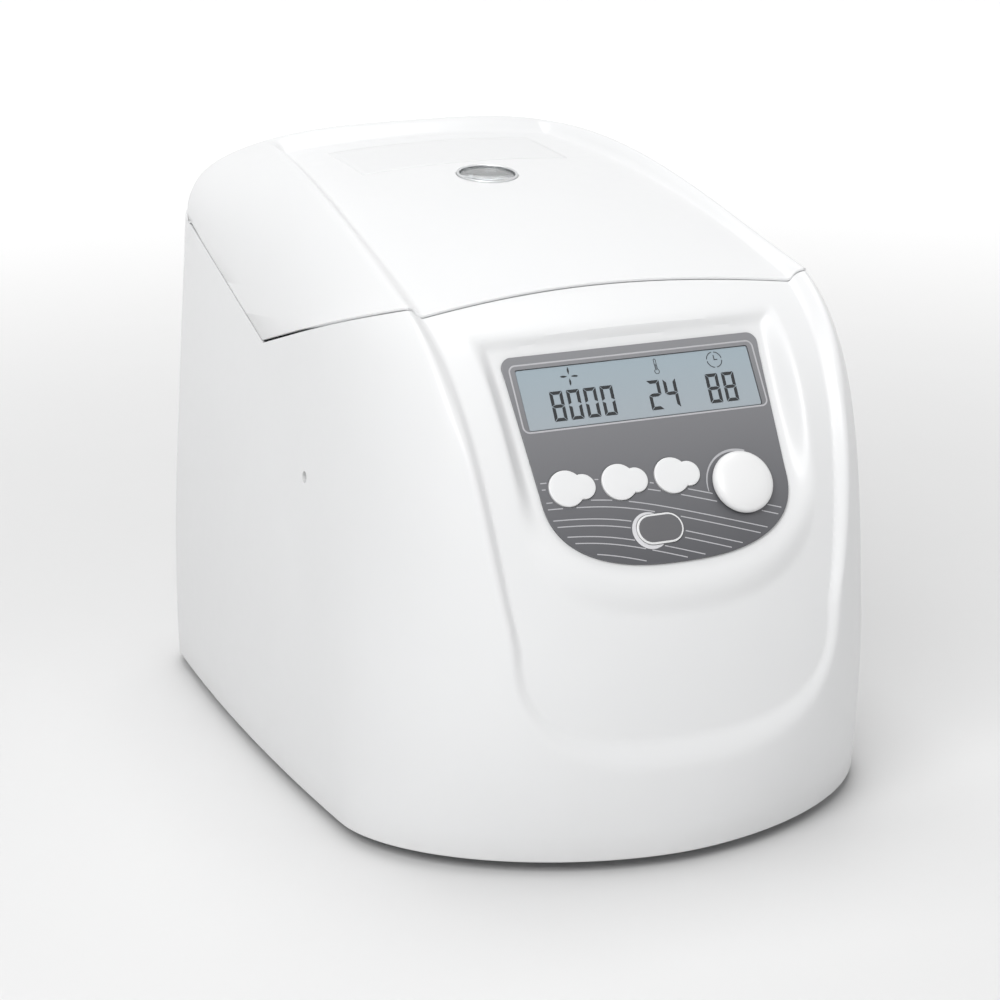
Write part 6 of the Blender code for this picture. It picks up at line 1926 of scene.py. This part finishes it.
@dataclass
class BackPanel:
    """Mains inlet, fuse drawer and rocker switch on the back wall."""

    face: float = 0.1830
    inlet_x: float = -0.048
    switch_x: float = 0.030
    z: float = 0.046
    flange: float = 0.0025
    socket_rise: float = 0.0095
    socket_half: float = 0.0120
    drawer_drop: float = 0.0145
    cut_out: float = 0.006
    rocker_half: float = 0.0117
    rocker_tilt: float = -9.0
    rocker_low: float = -0.0006
    rocker_rise: float = 0.0026
    rocker_power: float = 1.4
    mark_z: float = 0.0068
    mark_thick: float = 0.0001

    def build(self) -> None:
        """Build the inlet, the drawer and the switch."""
        self.build_inlet()
        self.build_drawer()
        self.build_switch()

    def upright(self, x: float, z: float) -> Matrix:
        """Frame on the back wall: X across, Y up and Z out of the back."""
        axes = Matrix(((-1, 0, 0, 0), (0, 0, 1, 0), (0, 1, 0, 0), (0, 0, 0, 1)))
        return Matrix.Translation((x, self.face, z)) @ axes

    def build_inlet(self) -> None:
        """Build the inlet with its shaped socket and three blades."""
        place = self.upright(self.inlet_x, self.z)
        flange = pad(rounded_box(0.0265, 0.0225, 0.003), 0.0, self.flange, 0.0006)
        back = slab(rounded_box(0.024, 0.020, 0.001), -0.024, 0.0012)
        body = carve(flange, [back], "UNION")
        rise, half = self.socket_rise, self.socket_half
        socket = [(-half, rise - 0.008), (half, rise - 0.008), (half, rise + 0.0035), (0.0075, rise + 0.008),
                  (-0.0075, rise + 0.008), (-half, rise + 0.0035)]
        bay = rounded_box(0.0113, 0.0043, 0.0005, 3, (0, -self.drawer_drop))
        body = carve(body, [slab(socket, -0.016, self.cut_out), slab(bay, -0.0183, self.cut_out)])
        make_piece("mains_inlet", moved(body, place), BLACK_PLASTIC, Body.HOUSING,
                   ("power_inlet",))
        blades = []
        for x, shift in ((-0.007, -0.002), (0.0, 0.0025), (0.007, -0.002)):
            low = (x - 0.001, rise + shift - 0.002, -0.0162)
            high = (x + 0.001, rise + shift + 0.002, -0.003)
            blades.append(block(low, high, 0.0004))
        make_piece("inlet_blades", moved(joined(blades), place), BRASS, Body.HOUSING, ())

    def build_drawer(self) -> None:
        """Build the fuse drawer with its finger notch."""
        place = self.upright(self.inlet_x, self.z - self.drawer_drop)
        drawer = pad(rounded_box(0.011, 0.004, 0.0006, 3), -0.018, self.flange, 0.0004)
        notch = slab(rounded_box(0.004, 0.001, 0.0009, 4, (0, 0.0022)), self.flange - 0.0012, self.cut_out)
        make_piece("fuse_drawer_cap", moved(carve(drawer, [notch]), place), BLACK_PLASTIC, Body.DRAWER,
                   ("fuse_drawer",))

    def build_switch(self) -> None:
        """Build the switch's frame and its rocker with the usual bar and ring marks."""
        place = self.upright(self.switch_x, self.z)
        rim = pad(rounded_box(0.013, 0.0175, 0.0015), 0.0, self.flange, 0.0006)
        back = slab(rounded_box(0.0105, 0.015, 0.0008), -0.017, 0.0012)
        well = slab(rounded_box(0.0083, 0.0123, 0.0004), -0.0085, self.cut_out)
        body = carve(carve(rim, [back], "UNION"), [well])
        make_piece("switch_frame", moved(body, place), BLACK_PLASTIC, Body.HOUSING,
                   ("switch_body",))
        half, bulge = self.rocker_half, 0.0015
        crown = [(half * math.cos(angle), self.rocker_y(abs(math.cos(angle))))
                 for angle in np.linspace(0, math.pi, 25)]
        outline = crown + [(-half * 0.8, -bulge), (0.0, -bulge * 1.6), (half * 0.8, -bulge)]
        rocker = slab([(z, y) for z, y in outline], -0.008, 0.008)
        axes = Matrix(((0, 0, 1, 0), (0, 1, 0, 0), (1, 0, 0, 0), (0, 0, 0, 1)))
        bar = slab(rounded_box(0.0004, 0.0021, 0.0003, 3), 0.0, self.mark_thick)
        ring = slab(circle(0.0021, 40), 0.0, self.mark_thick)
        ring = carve(ring, [slab(circle(0.0015, 40), -0.001, 0.001)])
        pivot = Matrix.Translation((self.switch_x, self.face + GAP, self.z))
        tilt = pivot @ spin(self.rocker_tilt, "X")
        make_piece("switch_rocker_cap", moved(rocker, tilt @ axes), BLACK_PLASTIC, Body.ROCKER,
                   ("switch_rocker",), 25)
        marks = []
        for mesh, z in ((bar, self.mark_z), (ring, -self.mark_z)):
            out = abs(z) / half
            slope = self.rocker_rise * self.rocker_power * out ** 0.4 / half
            lean = math.atan(slope) * (-1 if z > 0 else 1)
            stand = Matrix.Rotation(math.radians(-90) + lean, 4, "X")
            spot = Matrix.Translation((0, self.rocker_y(out) + 0.00002, z))
            marks.append(moved(mesh, tilt @ spot @ stand))
        make_piece("switch_marks", joined(marks), BUTTON_WHITE, Body.ROCKER, ())

    def rocker_y(self, out: float) -> float:
        """Height of the rocker's dished face at a share of its half length."""
        return self.rocker_low + self.rocker_rise * out ** self.rocker_power


@dataclass
class Base:
    """The feet and the pan's screws under the housing."""

    pan_z: float = 0.0065
    foot_x: float = 0.098
    front_y: float = -0.0978
    rear_y: float = 0.1422
    foot_profile: tuple[Point, ...] = ((0, 0), (0.0045, 0), (0.0055, 0.0006), (0.012, 0.0),
                                       (0.0145, 0.0062), (0, 0.0062))
    screws: tuple[Point, ...] = (
        (-0.118, -0.060), (-0.118, 0.020), (-0.118, 0.100), (0.118, -0.060), (0.118, 0.020), (0.118, 0.100),
        (-0.07, 0.168), (0.0, 0.168), (0.07, 0.168), (-0.05, -0.140), (0.05, -0.140))
    seat: float = 1e-5

    def build(self) -> None:
        """Build the four feet and the pan's screws."""
        spots = {"front_left": (-self.foot_x, self.front_y), "front_right": (self.foot_x, self.front_y),
                 "rear_left": (-self.foot_x, self.rear_y), "rear_right": (self.foot_x, self.rear_y)}
        profile = softened(self.foot_profile, 0.0009)
        for name, (x, y) in spots.items():
            foot = moved(turned(profile, 64), Matrix.Translation((x, y, 0)))
            make_piece(f"rubber_foot_{name}", foot, RUBBER, Body.HOUSING, (f"foot_{name}",),
                       40)
        corners, small, z = [], self.seat, self.pan_z
        for x, y in self.screws:
            corners += [(x - small, y - small, z), (x - small, y + small, z), (x + small, y, z)]
        faces = [(start, start + 1, start + 2) for start in range(0, len(corners), 3)]
        heads = screw_tree(ZINC).mesh(mesh_of(corners, faces, False), Radius=0.0030, Height=0.0009)
        make_piece("pan_screws", heads, ZINC, Body.HOUSING, (), 80)


@dataclass
class Springs:
    """The two coiled lid springs round the hinge pin."""

    axis_y: float = 0.1727
    axis_z: float = 0.2495
    start: float = 0.0672
    radius: float = 0.0031
    wire: float = 0.0005
    length: float = 0.0130
    turns: int = 12
    turn_steps: int = 20

    def build(self) -> None:
        """Build both springs with one swept line tree."""
        tree = line_tree(STEEL)
        steps = self.turn_steps * self.turns
        for side, name in ((-1, "left"), (1, "right")):
            points = []
            for step in range(steps + 1):
                angle = 2 * math.pi * step / self.turn_steps
                points.append((side * (self.start + self.wire + self.length * step / steps),
                               self.axis_y + self.radius * math.cos(angle),
                               self.axis_z + self.radius * math.sin(angle)))
            path = bpy.data.meshes.new("coil_path")
            path.from_pydata(points, [(index, index + 1) for index in range(steps)], [])
            coil = tree.mesh(path, Width=self.wire * 0.9)
            make_piece(f"coil_spring_{name}", coil, STEEL, Body.HOUSING, (f"lid_spring_{name}",), 60)


NODE_FINISHES: dict[Surface, tuple[str, ...]] = {
    ZINC: ("base_pan", "motor_plate"),
    LINER_GREY: ("deck", "lid_liner"),
    CLEAR: ("liner_window",),
    STEEL: ("lid_striker", "latch_frame", "latch_pawl", "drive_shaft", "hinge_pin", "hinge_bracket_left",
            "hinge_bracket_right", "hinge_arm_left", "hinge_arm_right"),
    BLACK_PLASTIC: ("latch_solenoid", "display_module", "encoder"),
    RUBBER: ("shaft_boot", "motor_damper_1", "motor_damper_2", "motor_damper_3"),
    ENAMEL: ("motor",),
    BOARD: ("power_board", "control_board")}


def dress_nodes() -> None:
    """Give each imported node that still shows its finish."""
    for finish, names in NODE_FINISHES.items():
        for name in names:
            dress(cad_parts[name], finish)
            LOG.info("%s: finished as %s", name, finish.name)


@dataclass
class Studio:
    """Camera, lamps, floor and background."""

    eye: tuple[float, float, float] = (-0.5518, -1.2426, 0.5435)
    azimuth: float = 0.40916
    pitch: float = 0.30177
    lens: float = 103.94
    key: float = 34.0
    fill: float = 2.0
    top: float = 15.0
    sky: float = 0.38
    floor_lift: float = 0.55
    floor_half: float = 4.0
    floor_fade: Point = (0.3, 1.9)
    target: tuple[float, float, float] = (0, 0, 0.14)

    def build(self) -> None:
        """Build the studio."""
        self.build_camera()
        self.build_world()
        self.build_floor()
        self.lamp("key_lamp", (-1.2, -1.4, 1.8), 1.4, self.key)
        self.lamp("fill_lamp", (1.6, -1.0, 1.2), 1.8, self.fill)
        self.lamp("top_lamp", (0.1, 0.5, 2.1), 1.2, self.top)
        bpy.context.scene.view_settings.view_transform = "Standard"

    def build_camera(self) -> None:
        """Place the camera at the photograph's angle."""
        camera = bpy.data.cameras.new("camera")
        camera.lens = self.lens
        camera.sensor_width = 36.0
        item = link_object("camera", camera)
        heading = Vector((math.sin(self.azimuth) * math.cos(self.pitch),
                          math.cos(self.azimuth) * math.cos(self.pitch), -math.sin(self.pitch)))
        self.aim(item, self.eye, heading)
        bpy.context.scene.camera = item

    def build_world(self) -> None:
        """Light the scene evenly and show white behind it."""
        world = bpy.data.worlds.new("studio")
        bpy.context.scene.world = world
        world.use_nodes = True
        tree = world.node_tree
        back = tree.nodes["Background"]
        back.inputs["Color"].default_value = (1, 1, 1, 1)
        path = tree.nodes.new("ShaderNodeLightPath")
        camera, glossy, through = (path.outputs[f"Is {kind} Ray"]
                                   for kind in ("Camera", "Glossy", "Transmission"))
        seen = math_node(tree, "MAXIMUM", camera, math_node(tree, "MAXIMUM", glossy, through))
        strength = math_node(tree, "ADD", math_node(tree, "MULTIPLY", seen, 1.0 - self.sky), self.sky)
        tree.links.new(strength, back.inputs["Strength"])

    def build_floor(self) -> None:
        """Lay the pale floor."""
        mesh = bpy.data.meshes.new("floor")
        half = self.floor_half
        corners = [(-half, -half, 0), (half, -half, 0), (half, half, 0), (-half, half, 0)]
        mesh.from_pydata(corners, [], [(0, 1, 2, 3)])
        floor = link_object("floor", mesh)
        dress(floor, Finish("studio_floor", (0.80, 0.80, 0.80), 0.6, tone=0.004, gloss_change=0.04, bump=0.0))
        tree = floor.data.materials[0].node_tree
        split = split_vector(tree, tree.nodes.new("ShaderNodeTexCoord").outputs["Object"])
        lift = tree.nodes.new("ShaderNodeMapRange")
        lift.interpolation_type = "SMOOTHSTEP"
        lift.inputs["From Min"].default_value = self.floor_fade[0]
        lift.inputs["From Max"].default_value = self.floor_fade[1]
        lift.inputs["To Max"].default_value = self.floor_lift
        tree.links.new(axis_distance(tree, split), lift.inputs["Value"])
        shader = tree.nodes["Principled BSDF"]
        shader.inputs["Emission Strength"].default_value = 1.0
        tree.links.new(lift.outputs["Result"], shader.inputs["Emission Color"])

    def lamp(self, name: str, place: tuple[float, float, float], size: float, power: float) -> None:
        """Add a soft square lamp that faces the object.

        Args:
            name: Name of the lamp.
            place: Where it stands.
            size: Its width.
            power: Its power in watts.
        """
        light = bpy.data.lights.new(name, "AREA")
        light.size = size
        light.energy = power
        self.aim(link_object(name, light), place, Vector(self.target) - Vector(place))

    @staticmethod
    def aim(item: bpy.types.Object, place: Sequence[float], heading: Vector) -> None:
        """Stand an object at a place, looking along a heading."""
        turn = heading.to_track_quat("-Z", "Y").to_matrix().to_4x4()
        item.matrix_world = Matrix.Translation(place) @ turn


def write_sizes() -> None:
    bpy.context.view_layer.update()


def main() -> None:
    """Build the studio and every sub-assembly in order."""
    logging.basicConfig(level=logging.INFO, format="%(name)s %(message)s")
    Studio().build()
    builders: Sequence[Callable[[], None]] = (
        Housing().build, Lid().build, ControlPanel().build, Chamber().build, Rotor().build,
        BackPanel().build, Base().build, Springs().build, dress_nodes)
    for build in builders:
        build()
    write_sizes()


if __name__ == "__main__":
    main()
